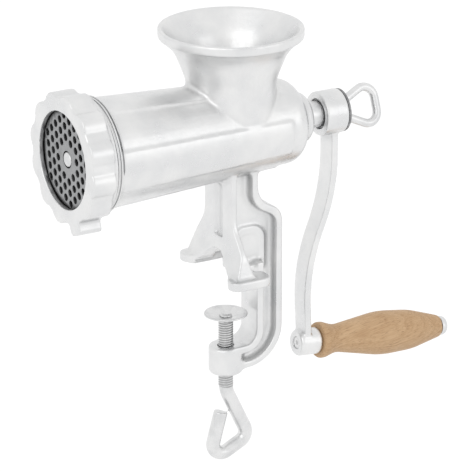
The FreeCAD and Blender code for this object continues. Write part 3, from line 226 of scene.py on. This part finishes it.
class GrinderStage(PropertyGroup):
    """Camera, floor and light."""
    camera_place: place_of("Camera", "Place of the camera", (-0.9647, -1.6666, 0.7308))
    camera_aim: place_of("Aim", "Point in the middle of the picture", (-0.00797, -0.0158, 0.02886))
    camera_lens: FloatProperty(
        name="Lens", description="Focal length", default=266.95, subtype="DISTANCE_CAMERA")
    floor_size: length("Floor", "Side of the floor", 8.0)
    floor_gap: length("Floor gap", "Air between the floor and the screw's lowest pose", 0.0004)
    floor_colour: colour("Floor colour", "Pale paper of the floor", (0.88, 0.88, 0.88))
    floor_shade: colour("Floor shade", "Part of the seen floor that a shadow darkens", (0.2, 0.2, 0.2))
    floor_glow: number("Floor glow", "Part of the seen floor that no shadow darkens", 0.87)
    paper_scale: number("Paper scale", "Scale of the paper's grain", 900.0)
    tent_bright: colour("Tent, bright", "Side of the light tent ahead of the outlet", (0.84, 0.84, 0.84))
    tent_far: colour("Tent, far", "Side of the light tent behind the crank", (0.30, 0.30, 0.305))
    tent_top: colour("Tent, top", "Top of the light tent", (0.86, 0.86, 0.865))
    tent_facing: numbers("Tent direction", "Way to the bright side of the tent", (-0.836, -0.549, 0.0))
    tent_strength: number("Tent strength", "Strength of the tent's light", 1.2)
    lamp_aim: place_of("Lamp aim", "Point that the lamps face", (0.0, 0.0, 0.04))
    key_place: place_of("Key place", "Place of the large lamp", (-1.35, -0.75, 1.05))
    key_size: numbers("Key size", "Sides of the large lamp", (1.6, 1.2))
    fill_place: place_of("Fill place", "Place of the lamp on the right", (0.85, -1.45, 0.55))
    fill_size: numbers("Fill size", "Sides of the lamp on the right", (1.0, 1.0))
    key_power: FloatProperty(
        name="Key", description="Power of the large lamp on the left", default=4.0, subtype="POWER")
    fill_power: FloatProperty(
        name="Fill", description="Power of the lamp on the right", default=1.3, subtype="POWER")


# Handling pieces


def only_active(piece):
    """Leave edit mode, and select this piece alone."""
    active = bpy.context.view_layer.objects.active
    if active and active.mode != "OBJECT":
        bpy.ops.object.mode_set(mode="OBJECT")
    bpy.ops.object.select_all(action="DESELECT")
    bpy.context.view_layer.objects.active = piece
    piece.select_set(True)


def edit_all(piece):
    only_active(piece)
    bpy.ops.object.mode_set(mode="EDIT")
    bpy.ops.mesh.select_all(action="SELECT")


def end_edit():
    bpy.ops.object.mode_set(mode="OBJECT")


def apply_modifier(piece, kind, **settings):
    only_active(piece)
    modifier = piece.modifiers.new(kind.title(), kind)
    for name, value in settings.items():
        setattr(modifier, name, value)
    bpy.ops.object.modifier_apply(modifier=modifier.name)


def copy_node(node):
    """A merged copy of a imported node's mesh, as a piece of its own."""
    only_active(NODES[node])
    bpy.ops.object.duplicate()
    piece = bpy.context.view_layer.objects.active
    piece.parent = None
    for key in list(piece.keys()):
        del piece[key]
    piece.name = node + "_finished"
    piece.data.name = piece.name
    piece.data.materials.clear()
    edit_all(piece)
    bpy.ops.mesh.remove_doubles(threshold=MERGE_DISTANCE)
    end_edit()
    return piece


def round_casting(piece, voxel, fillet, passes, limit):
    """Fill the inner corners, soften every edge and thin the mesh, as a mould and a dip in tin leave it."""
    apply_modifier(piece, "REMESH", mode="VOXEL", voxel_size=voxel)
    apply_modifier(piece, "DISPLACE", strength=fillet, mid_level=0.0)
    apply_modifier(piece, "REMESH", mode="VOXEL", voxel_size=voxel)
    apply_modifier(piece, "DISPLACE", strength=-fillet, mid_level=0.0)
    apply_modifier(piece, "REMESH", mode="VOXEL", voxel_size=voxel)
    apply_modifier(piece, "SMOOTH", factor=0.5, iterations=passes)
    triangles = 2 * len(piece.data.polygons)
    if triangles > limit:
        apply_modifier(piece, "DECIMATE", ratio=limit / triangles)
    only_active(piece)
    bpy.ops.object.shade_smooth()


def break_edges(piece, width):
    """Clear the flat faces of needless edges, and bevel the sharp ones."""
    edit_all(piece)
    bpy.ops.mesh.dissolve_limited(angle_limit=FLAT_ANGLE)
    end_edit()
    apply_modifier(piece, "BEVEL", width=width, segments=2, limit_method="ANGLE", angle_limit=SHARP_ANGLE)
    only_active(piece)
    bpy.ops.object.shade_smooth_by_angle(angle=SHARP_ANGLE)


def finish_piece(piece, material, node=None, body=None):
    """Give a piece its material, and let it ride for its node or on a body."""
    piece.data.materials.clear()
    piece.data.materials.append(material)
    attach(piece, body or BODY_OF[node])
    if node:
        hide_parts(node)


def wind_thread(name, axis, start, end, pitch, root, crest, centre):
    """A ridge wound along X or Z from start to end, its foot sunk below the root."""
    depth = crest - root
    turns = math.ceil((end - start) / pitch) + SPARE_TURNS
    along_x = axis == "X"
    bpy.ops.object.select_all(action="DESELECT")
    bpy.ops.mesh.primitive_circle_add(vertices=THREAD_POINTS, radius=1.0, fill_type="NOTHING")
    piece = bpy.context.view_layer.objects.active
    piece.name = name
    piece.data.name = name
    edit_all(piece)
    bpy.ops.transform.resize(value=(pitch * THREAD_HALF_WIDTH, depth, 1.0))
    bpy.ops.transform.translate(value=(0.0, root, 0.0))
    end_edit()
    # the ring of points lies across the direction of winding
    for vertex in piece.data.vertices:
        along, out, _ = vertex.co
        along += start - pitch
        vertex.co = (along, 0.0, out) if along_x else (out, 0.0, along)
    apply_modifier(
        piece, "SCREW", axis=axis, angle=math.tau, screw_offset=pitch, iterations=turns, steps=THREAD_STEPS,
        render_steps=THREAD_STEPS, use_merge_vertices=False)
    for place, sign in ((start, -1.0), (end, 1.0)):
        edit_all(piece)
        point = (place, 0.0, 0.0) if along_x else (0.0, 0.0, place)
        normal = (sign, 0.0, 0.0) if along_x else (0.0, 0.0, sign)
        bpy.ops.mesh.bisect(plane_co=point, plane_no=normal, use_fill=True, clear_outer=True)
        end_edit()
    edit_all(piece)
    bpy.ops.mesh.remove_doubles(threshold=MERGE_DISTANCE)
    bpy.ops.mesh.normals_make_consistent(inside=False)
    bpy.ops.transform.translate(value=centre)
    end_edit()
    only_active(piece)
    bpy.ops.object.shade_smooth_by_angle(angle=THREAD_ANGLE)
    return piece


# Materials


def new_material(name):
    material = bpy.data.materials.new(name)
    material.use_nodes = True
    return material, material.node_tree, material.node_tree.nodes["Principled BSDF"]


def add_node(tree, kind, inputs=None, **settings):
    """A shader node with its settings, and its inputs set or linked."""
    made = tree.nodes.new("ShaderNode" + kind)
    for name, value in settings.items():
        setattr(made, name, value)
    for key, value in (inputs or {}).items():
        if isinstance(value, bpy.types.NodeSocket):
            tree.links.new(value, made.inputs[key])
        else:
            made.inputs[key].default_value = value
    return made


def object_place(tree, centre=None, turn=None):
    """Coordinates on the piece, centred and turned to its axis where given."""
    coords = add_node(tree, "TexCoord").outputs["Object"]
    if centre is None:
        return coords
    mapping = add_node(tree, "Mapping", {
        "Vector": coords, "Location": centre, "Rotation": turn or (0.0, 0.0, 0.0)}, vector_type="TEXTURE")
    return mapping.outputs["Vector"]


def noise(tree, place, scale, detail=2.0, roughness=0.5, distortion=0.0):
    made = add_node(tree, "TexNoise", {
        "Vector": place, "Scale": scale, "Detail": detail, "Roughness": roughness, "Distortion": distortion})
    return made.outputs["Fac"]


def spread(tree, value, low, high, to_low, to_high):
    made = add_node(tree, "MapRange", {
        "Value": value, "From Min": low, "From Max": high, "To Min": to_low, "To Max": to_high})
    return made.outputs["Result"]


def blend_colours(tree, factor, first, second):
    sockets = {0: factor}
    for index, value in ((6, first), (7, second)):
        sockets[index] = value if isinstance(value, bpy.types.NodeSocket) else (*value, 1.0)
    return add_node(tree, "Mix", sockets, data_type="RGBA").outputs[2]


def maths(tree, operation, first, second=0.0):
    return add_node(tree, "Math", {0: first, 1: second}, operation=operation).outputs["Value"]


def vectors(tree, operation, first, second):
    return add_node(tree, "VectorMath", {0: first, 1: second}, operation=operation).outputs["Vector"]


def dot(tree, first, second):
    return add_node(tree, "VectorMath", {0: first, 1: second}, operation="DOT_PRODUCT").outputs["Value"]


def size_of(tree, vector):
    return add_node(tree, "VectorMath", {0: vector}, operation="LENGTH").outputs["Value"]


def bump(tree, height, distance, strength=1.0, under=None):
    sockets = {"Height": height, "Distance": distance, "Strength": strength}
    if under:
        sockets["Normal"] = under
    return add_node(tree, "Bump", sockets).outputs["Normal"]


def barrel_reach(tree):
    """Place along the barrel's axis, and distance from that axis."""
    place = object_place(tree, (0.0, 0.0, BARREL_AXIS_Z))
    reach = size_of(tree, vectors(tree, "MULTIPLY", place, ACROSS_X))
    return add_node(tree, "SeparateXYZ", {0: place}).outputs["X"], reach


def make_tin(name, tin, bored=False):
    """Cast iron dipped in tin: bright and dull pools, an uneven skin and a fine grain, painted shade in the inner
    corners, and a bare bore.
    """
    material, tree, shader = new_material(name)
    place = object_place(tree)
    pools = noise(tree, place, tin.pool_scale, 3.0)
    skin = noise(tree, place, tin.skin_scale, 4.0, 0.55)
    fine = noise(tree, place, tin.grain_scale, 2.0, 0.6)
    # painted shade: ambient occlusion darkens the tin in the inner corners
    shade_occlusion = add_node(tree, "AmbientOcclusion", {"Distance": tin.corner_shade_reach}, only_local=True, samples=8)
    tone = blend_colours(tree, spread(tree, pools, 0.35, 0.65, 0.0, 1.0), tin.tin_grey, tin.tin_light)
    corner_painted_shade = spread(tree, shade_occlusion.outputs["AO"], 0.45, 0.95, 1.0, 0.0)
    tone = blend_colours(tree, corner_painted_shade, tone, tin.tin_painted_shade)
    if bored:
        along, reach = barrel_reach(tree)
        limit = spread(tree, along, PLATE_HIGH.x, tin.bore_end, tin.bore_front, tin.bore_rear)
        inside = maths(tree, "LESS_THAN", reach, limit)
        ahead = maths(tree, "LESS_THAN", along, tin.bore_end)
        tone = blend_colours(tree, maths(tree, "MULTIPLY", inside, ahead), tone, tin.bore_iron)
    tree.links.new(tone, shader.inputs["Base Color"])
    uneven = maths(tree, "ADD", maths(tree, "MULTIPLY", pools, 0.5), maths(tree, "MULTIPLY", skin, 0.5))
    tree.links.new(spread(tree, uneven, 0.35, 0.65, *tin.tin_rough), shader.inputs["Roughness"])
    skin_bump = bump(tree, skin, tin.skin_depth, 0.6)
    tree.links.new(bump(tree, fine, tin.grain_depth, 0.7, skin_bump), shader.inputs["Normal"])
    shader.inputs["Metallic"].default_value = 1.0
    return material


def make_bright_steel(name, steel, thread=None):
    """Plated steel: cloudy plating with fine marks, and painted shade at a thread's root where one is given."""
    material, tree, shader = new_material(name)
    place = object_place(tree)
    clouds = noise(tree, place, steel.plating_scale, 3.0)
    marks = noise(tree, place, steel.mark_scale, 3.0, 0.65)
    tone = blend_colours(tree, spread(tree, clouds, 0.38, 0.66, 0.0, 1.0), steel.bright, steel.bright_dull)
    if thread:
        axis, centre, root, crest, start, end = thread
        from_axis = vectors(tree, "SUBTRACT", place, centre)
        along = dot(tree, from_axis, axis)
        reach = size_of(tree, vectors(tree, "CROSS_PRODUCT", from_axis, axis))
        past_start = maths(tree, "GREATER_THAN", along, start)
        before_end = maths(tree, "LESS_THAN", along, end)
        threaded = maths(tree, "MULTIPLY", past_start, before_end)
        # painted shade: the steel darkens from the thread's crest down to its root
        root_shade_mask = spread(tree, reach, root, crest, 1.0, 0.0)
        tone = blend_colours(tree, maths(tree, "MULTIPLY", root_shade_mask, threaded), tone, steel.groove_shade)
    tree.links.new(tone, shader.inputs["Base Color"])
    tree.links.new(spread(tree, marks, 0.3, 0.7, *steel.bright_rough), shader.inputs["Roughness"])
    tree.links.new(bump(tree, marks, steel.mark_depth, 0.5), shader.inputs["Normal"])
    shader.inputs["Metallic"].default_value = 1.0
    return material


def make_ground_steel(name, steel):
    """Ground steel of the plate and knife: rings about the barrel's axis, cloudy wear, and painted shade inside
    the holes and beside nearby pieces.
    """
    material, tree, shader = new_material(name)
    place = object_place(tree)
    _, reach = barrel_reach(tree)
    ring_inputs = {"W": reach, "Scale": steel.grinding_scale, "Detail": 4.0, "Roughness": 0.7}
    rings = add_node(tree, "TexNoise", ring_inputs, noise_dimensions="1D").outputs["Fac"]
    clouds = noise(tree, place, steel.wear_scale, 4.0, 0.6)
    mixed = maths(tree, "ADD", maths(tree, "MULTIPLY", rings, 0.55), maths(tree, "MULTIPLY", clouds, 0.45))
    tone = blend_colours(tree, spread(tree, mixed, 0.38, 0.62, 0.0, 1.0), steel.ground_dark, steel.ground)
    # painted shade: ambient occlusion darkens the steel inside the holes and where other pieces stand close
    shade_occlusion = add_node(tree, "AmbientOcclusion", {"Distance": steel.hole_shade_reach}, samples=8).outputs["AO"]
    tone = blend_colours(tree, spread(tree, shade_occlusion, 0.55, 0.95, 1.0, 0.0), tone, steel.ground_painted_shade)
    tree.links.new(tone, shader.inputs["Base Color"])
    tree.links.new(spread(tree, mixed, 0.35, 0.65, *steel.ground_rough), shader.inputs["Roughness"])
    tree.links.new(bump(tree, rings, steel.grinding_depth, 0.5), shader.inputs["Normal"])
    shader.inputs["Metallic"].default_value = 1.0
    return material


def make_washer_steel(name, steel):
    """Dull steel that has rubbed bright in places."""
    material, tree, shader = new_material(name)
    place = object_place(tree)
    rubbed = noise(tree, place, steel.washer_scale, 5.0, 0.65)
    tone = blend_colours(tree, spread(tree, rubbed, 0.45, 0.7, 0.0, 1.0), steel.washer, steel.washer_worn)
    tree.links.new(tone, shader.inputs["Base Color"])
    tree.links.new(spread(tree, rubbed, 0.3, 0.7, *steel.washer_rough), shader.inputs["Roughness"])
    tree.links.new(bump(tree, rubbed, steel.washer_depth, 0.6), shader.inputs["Normal"])
    shader.inputs["Metallic"].default_value = 1.0
    return material


def make_nylon(name, steel):
    """Moulded nylon, a little yellowed."""
    material, tree, shader = new_material(name)
    place = object_place(tree)
    clouds = noise(tree, place, steel.nylon_scale, 3.0)
    grain = noise(tree, place, steel.nylon_grain_scale, 2.0)
    tone = blend_colours(tree, spread(tree, clouds, 0.35, 0.7, 0.0, 1.0), steel.nylon, steel.nylon_shade)
    tree.links.new(tone, shader.inputs["Base Color"])
    tree.links.new(spread(tree, clouds, 0.3, 0.7, *steel.nylon_rough), shader.inputs["Roughness"])
    tree.links.new(bump(tree, grain, steel.nylon_grain_depth, 0.5), shader.inputs["Normal"])
    return material


def make_beech(name, wood):
    """Turned beech: growth rings cut by the lathe, long fibres and short dark rays along the grip."""
    material, tree, shader = new_material(name)
    place = object_place(tree, tuple(GRIP_START), (0.0, GRIP_DROOP + wood.grain_slope, 0.0))
    # growth rings about a pith well outside the grip, wavering slowly along it
    waver = add_node(tree, "TexNoise", {
        "Vector": vectors(tree, "MULTIPLY", place, wood.waver_scale), "Scale": 1.0, "Detail": 2.0})
    sway = vectors(tree, "MULTIPLY", waver.outputs["Color"], (wood.waver, wood.waver, wood.waver))
    from_pith = vectors(tree, "SUBTRACT", vectors(tree, "ADD", place, sway), wood.pith)
    reach = size_of(tree, vectors(tree, "MULTIPLY", from_pith, ACROSS_X))
    phase = maths(tree, "FRACT", maths(tree, "DIVIDE", reach, wood.ring_spacing))
    late = spread(tree, phase, 0.2, 1.0, 0.0, 1.0)
    # fibres and rays are long along the grip and thin across it
    fibres = noise(tree, vectors(tree, "MULTIPLY", place, wood.fibre_scale), 1.0, 4.0, 0.65)
    rays = noise(tree, vectors(tree, "MULTIPLY", place, wood.ray_scale), 1.0, 1.0, 0.4)
    patches = noise(tree, place, wood.patch_scale, 3.0)
    grain = maths(tree, "ADD", maths(tree, "MULTIPLY", late, 0.12), maths(tree, "MULTIPLY", fibres, 0.95))
    mixed = maths(tree, "ADD", grain, maths(tree, "MULTIPLY", patches, 0.35))
    darkness = spread(tree, mixed, 0.48, 0.98, 0.0, 1.0)
    wood_tone = blend_colours(tree, darkness, wood.wood_light, wood.wood_dark)
    ray_mask = spread(tree, rays, 0.62, 0.74, 0.0, 0.6)
    tree.links.new(blend_colours(tree, ray_mask, wood_tone, wood.fleck), shader.inputs["Base Color"])
    tree.links.new(spread(tree, fibres, 0.3, 0.7, *wood.wood_rough), shader.inputs["Roughness"])
    fibre_bump = bump(tree, fibres, wood.fibre_depth, 0.5)
    tree.links.new(bump(tree, rays, wood.ray_depth, 0.4, fibre_bump), shader.inputs["Normal"])
    shader.inputs["Specular IOR Level"].default_value = 0.4
    return material


# Operators


class GRINDER_OT_body_casting(Operator):
    """Round the body casting and dip it in tin"""
    bl_idname = "grinder.body_casting"
    bl_label = "Body casting"

    def execute(self, context):
        sizes = context.scene.grinder_casting
        piece = copy_node("body_casting")
        round_casting(piece, sizes.body_voxel, sizes.body_fillet, sizes.body_passes, sizes.triangle_limit)
        finish_piece(piece, make_tin("tinned_body", sizes, bored=True), "body_casting")
        return {"FINISHED"}


class GRINDER_OT_small_castings(Operator):
    """Round the ring nut, the crank and the auger"""
    bl_idname = "grinder.small_castings"
    bl_label = "Ring nut, crank and auger"

    def execute(self, context):
        sizes = context.scene.grinder_casting
        for node in ("ring_nut", "crank_arm", "auger"):
            piece = copy_node(node)
            round_casting(
                piece, sizes.small_voxel, sizes.small_fillet, sizes.small_passes, sizes.triangle_limit)
            finish_piece(piece, make_tin("tinned_" + node, sizes, bored=node == "auger"), node)
        return {"FINISHED"}


class GRINDER_OT_mouth_thread(Operator):
    """Wind the thread round the barrel's mouth"""
    bl_idname = "grinder.mouth_thread"
    bl_label = "Mouth thread"

    def execute(self, context):
        sizes = context.scene.grinder_threads
        piece = wind_thread(
            "mouth_thread", "X", sizes.mouth_front, sizes.mouth_back, sizes.mouth_pitch, sizes.mouth_root,
            sizes.mouth_crest, (0.0, 0.0, BARREL_AXIS_Z))
        thread_tin = make_tin("tinned_thread", context.scene.grinder_casting)
        finish_piece(piece, thread_tin, body="frame")
        return {"FINISHED"}


def clamp_root_shade(sizes):
    """Axis, centre, root, crest and ends of the clamp screw's thread, for the painted shade at its root."""
    return (
        ALONG_Z, (0.0, 0.0, 0.0), sizes.clamp_root, sizes.clamp_crest, sizes.clamp_bottom, sizes.clamp_top)


class GRINDER_OT_screw_threads(Operator):
    """Wind the threads of the clamp screw and the thumb screw"""
    bl_idname = "grinder.screw_threads"
    bl_label = "Screw threads"

    def execute(self, context):
        sizes = context.scene.grinder_threads
        steel = context.scene.grinder_steel
        clamp = wind_thread(
            "clamp_thread", "Z", sizes.clamp_bottom, sizes.clamp_top, sizes.clamp_pitch, sizes.clamp_root,
            sizes.clamp_crest, (0.0, 0.0, 0.0))
        clamp_steel = make_bright_steel("clamp_thread_steel", steel, thread=clamp_root_shade(sizes))
        finish_piece(clamp, clamp_steel, body="clamp")
        stem_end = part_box("thumb_screw")[0].x + MERGE_DISTANCE
        thumb = wind_thread(
            "thumb_thread", "X", stem_end + sizes.thumb_pitch / 2, stem_end + sizes.thumb_back,
            sizes.thumb_pitch, sizes.thumb_root, sizes.thumb_crest, (0.0, 0.0, BARREL_AXIS_Z))
        thumb_root_shade = (
            ALONG_X, (stem_end, 0.0, BARREL_AXIS_Z), sizes.thumb_root, sizes.thumb_crest, 0.0,
            sizes.thumb_back)
        thumb_steel = make_bright_steel("thumb_thread_steel", steel, thread=thumb_root_shade)
        finish_piece(thumb, thumb_steel, body="thumb")
        return {"FINISHED"}


class GRINDER_OT_plate_and_knife(Operator):
    """Break the edges of the plate and the knife, and grind them"""
    bl_idname = "grinder.plate_and_knife"
    bl_label = "Plate and knife"

    def execute(self, context):
        steel = context.scene.grinder_steel
        for node in ("grinding_plate", "cross_knife"):
            piece = copy_node(node)
            break_edges(piece, steel.edge_break)
            finish_piece(piece, make_ground_steel("ground_" + node, steel), node)
        return {"FINISHED"}


class GRINDER_OT_pins_and_screws(Operator):
    """Finish the plated pins, screws and pad"""
    bl_idname = "grinder.pins_and_screws"
    bl_label = "Pins, screws and pad"

    def execute(self, context):
        steel = context.scene.grinder_steel
        casting = context.scene.grinder_casting
        for node in ("plate_key_pin", "auger_stud", "handle_spindle", "clamp_pad"):
            piece = copy_node(node)
            break_edges(piece, steel.edge_break)
            finish_piece(piece, make_bright_steel("plated_" + node, steel), node)
        for node in ("thumb_screw", "clamp_screw"):
            piece = copy_node(node)
            round_casting(
                piece, casting.small_voxel, casting.small_fillet, casting.small_passes,
                casting.triangle_limit)
            groove_shade = clamp_root_shade(context.scene.grinder_threads) if node == "clamp_screw" else None
            finish_piece(piece, make_bright_steel("plated_" + node, steel, thread=groove_shade), node)
        return {"FINISHED"}


class GRINDER_OT_washers(Operator):
    """Finish the washer under the thumb screw and the thrust washer"""
    bl_idname = "grinder.washers"
    bl_label = "Washers"

    def execute(self, context):
        steel = context.scene.grinder_steel
        for node, make in (("thumb_screw_washer", make_washer_steel), ("thrust_washer", make_nylon)):
            piece = copy_node(node)
            break_edges(piece, steel.edge_break)
            finish_piece(piece, make("washer_" + node, steel), node)
        return {"FINISHED"}


class GRINDER_OT_wooden_grip(Operator):
    """Turn the grip in beech"""
    bl_idname = "grinder.wooden_grip"
    bl_label = "Wooden grip"

    def execute(self, context):
        casting = context.scene.grinder_casting
        wood = context.scene.grinder_grip
        piece = copy_node("wooden_grip")
        round_casting(piece, casting.small_voxel, casting.small_fillet, wood.passes, casting.triangle_limit)
        finish_piece(piece, make_beech("turned_beech", wood), "wooden_grip")
        return {"FINISHED"}


def seen_directly(tree):
    """One where the background is seen by the camera, in metal or through glass."""
    path = add_node(tree, "LightPath").outputs
    direct = maths(tree, "MAXIMUM", path["Is Camera Ray"], path["Is Glossy Ray"])
    return maths(tree, "MAXIMUM", direct, path["Is Transmission Ray"])


def lay_floor(stage):
    """A pale floor under the clamp screw's lowest pose, seen as white but for the shadow on it."""
    bpy.ops.object.select_all(action="DESELECT")
    height = cad_box[0].z + CLAMP_DROP - stage.floor_gap
    bpy.ops.mesh.primitive_plane_add(size=stage.floor_size, location=(0.0, 0.0, height))
    floor = bpy.context.view_layer.objects.active
    floor.name = "floor"
    bpy.ops.object.transform_apply(location=True)
    material, tree, shader = new_material("floor_paper")
    tree.nodes.remove(shader)
    place = object_place(tree)
    paper = noise(tree, place, stage.paper_scale, 3.0)
    tone = blend_colours(tree, spread(tree, paper, 0.3, 0.7, 0.0, 0.05), stage.floor_colour, WHITE)
    matt = add_node(tree, "BsdfDiffuse", {"Color": tone}).outputs["BSDF"]
    faint = add_node(tree, "BsdfDiffuse", {"Color": (*stage.floor_shade, 1.0)}).outputs["BSDF"]
    glow_inputs = {"Color": (*WHITE, 1.0), "Strength": stage.floor_glow}
    glow = add_node(tree, "Emission", glow_inputs).outputs["Emission"]
    seen = add_node(tree, "AddShader", {0: faint, 1: glow}).outputs["Shader"]
    mixed = add_node(tree, "MixShader", {0: seen_directly(tree), 1: matt, 2: seen}).outputs["Shader"]
    tree.links.new(mixed, tree.nodes["Material Output"].inputs["Surface"])
    floor.data.materials.append(material)


def hang_tent(stage):
    """A soft tent of light, bright in front and at the top and greyer behind, seen as a white background."""
    world = bpy.data.worlds.new("light_tent")
    bpy.context.scene.world = world
    world.use_nodes = True
    tree = world.node_tree
    tree.nodes.clear()
    way = add_node(tree, "TexCoord").outputs["Generated"]
    rise = add_node(tree, "SeparateXYZ", {0: way}).outputs["Z"]
    facing = dot(tree, way, stage.tent_facing)
    ahead = spread(tree, facing, -0.8, 0.6, 0.0, 1.0)
    around = blend_colours(tree, ahead, stage.tent_far, stage.tent_bright)
    shade = blend_colours(tree, spread(tree, rise, 0.25, 0.85, 0.0, 1.0), around, stage.tent_top)
    tent_inputs = {"Color": shade, "Strength": stage.tent_strength}
    tent = add_node(tree, "Background", tent_inputs).outputs["Background"]
    white = add_node(tree, "Background", {"Color": (*WHITE, 1.0), "Strength": 1.0}).outputs["Background"]
    mixed = add_node(tree, "MixShader", {0: seen_directly(tree), 1: tent, 2: white}).outputs["Shader"]
    out = add_node(tree, "OutputWorld", {"Surface": mixed})
    out.is_active_output = True


def hang_lamp(name, place, aim, size, power):
    bpy.ops.object.select_all(action="DESELECT")
    bpy.ops.object.light_add(type="AREA", location=place)
    lamp = bpy.context.view_layer.objects.active
    lamp.name = name
    lamp.data.shape = "RECTANGLE"
    lamp.data.size, lamp.data.size_y = size
    lamp.data.energy = power
    lamp.rotation_euler = (Vector(aim) - Vector(place)).to_track_quat("-Z", "Y").to_euler()


def set_camera(stage):
    place, aim = Vector(stage.camera_place), Vector(stage.camera_aim)
    bpy.ops.object.select_all(action="DESELECT")
    bpy.ops.object.camera_add(location=place, rotation=(aim - place).to_track_quat("-Z", "Y").to_euler())
    camera = bpy.context.view_layer.objects.active
    camera.name = "camera"
    camera.data.lens = stage.camera_lens
    camera.data.clip_end = CAMERA_REACH
    bpy.context.scene.camera = camera


class GRINDER_OT_stage(Operator):
    """Lay the floor, hang the lamps and set the camera"""
    bl_idname = "grinder.stage"
    bl_label = "Stage"

    def execute(self, context):
        stage = context.scene.grinder_stage
        lay_floor(stage)
        hang_tent(stage)
        hang_lamp("key_lamp", stage.key_place, stage.lamp_aim, stage.key_size, stage.key_power)
        hang_lamp("fill_lamp", stage.fill_place, stage.lamp_aim, stage.fill_size, stage.fill_power)
        set_camera(stage)
        context.scene.view_settings.view_transform = "Standard"
        return {"FINISHED"}


OPERATORS = (
    GRINDER_OT_body_casting,
    GRINDER_OT_small_castings,
    GRINDER_OT_mouth_thread,
    GRINDER_OT_screw_threads,
    GRINDER_OT_plate_and_knife,
    GRINDER_OT_pins_and_screws,
    GRINDER_OT_washers,
    GRINDER_OT_wooden_grip,
    GRINDER_OT_stage,
)


class GRINDER_PT_pieces(Panel):
    """Pieces of the grinder"""
    bl_idname = "GRINDER_PT_pieces"
    bl_label = "Meat grinder"
    bl_space_type = "VIEW_3D"
    bl_region_type = "UI"
    bl_category = "Grinder"

    def draw(self, context):
        for operator in OPERATORS:
            self.layout.operator(operator.bl_idname)


GROUPS = {
    "grinder_casting": GrinderCasting,
    "grinder_threads": GrinderThreads,
    "grinder_steel": GrinderSteel,
    "grinder_grip": GrinderGrip,
    "grinder_stage": GrinderStage,
}


def register():
    for group in (*GROUPS.values(), *OPERATORS, GRINDER_PT_pieces):
        bpy.utils.register_class(group)
    for name, group in GROUPS.items():
        setattr(bpy.types.Scene, name, PointerProperty(type=group))


def unregister():
    for name in GROUPS:
        delattr(bpy.types.Scene, name)
    for group in reversed((*GROUPS.values(), *OPERATORS, GRINDER_PT_pieces)):
        bpy.utils.unregister_class(group)


def main():
    register()
    bpy.ops.grinder.body_casting()
    bpy.ops.grinder.small_castings()
    bpy.ops.grinder.mouth_thread()
    bpy.ops.grinder.screw_threads()
    bpy.ops.grinder.plate_and_knife()
    bpy.ops.grinder.pins_and_screws()
    bpy.ops.grinder.washers()
    bpy.ops.grinder.wooden_grip()
    bpy.ops.grinder.stage()


if __name__ == "__main__":
    main()
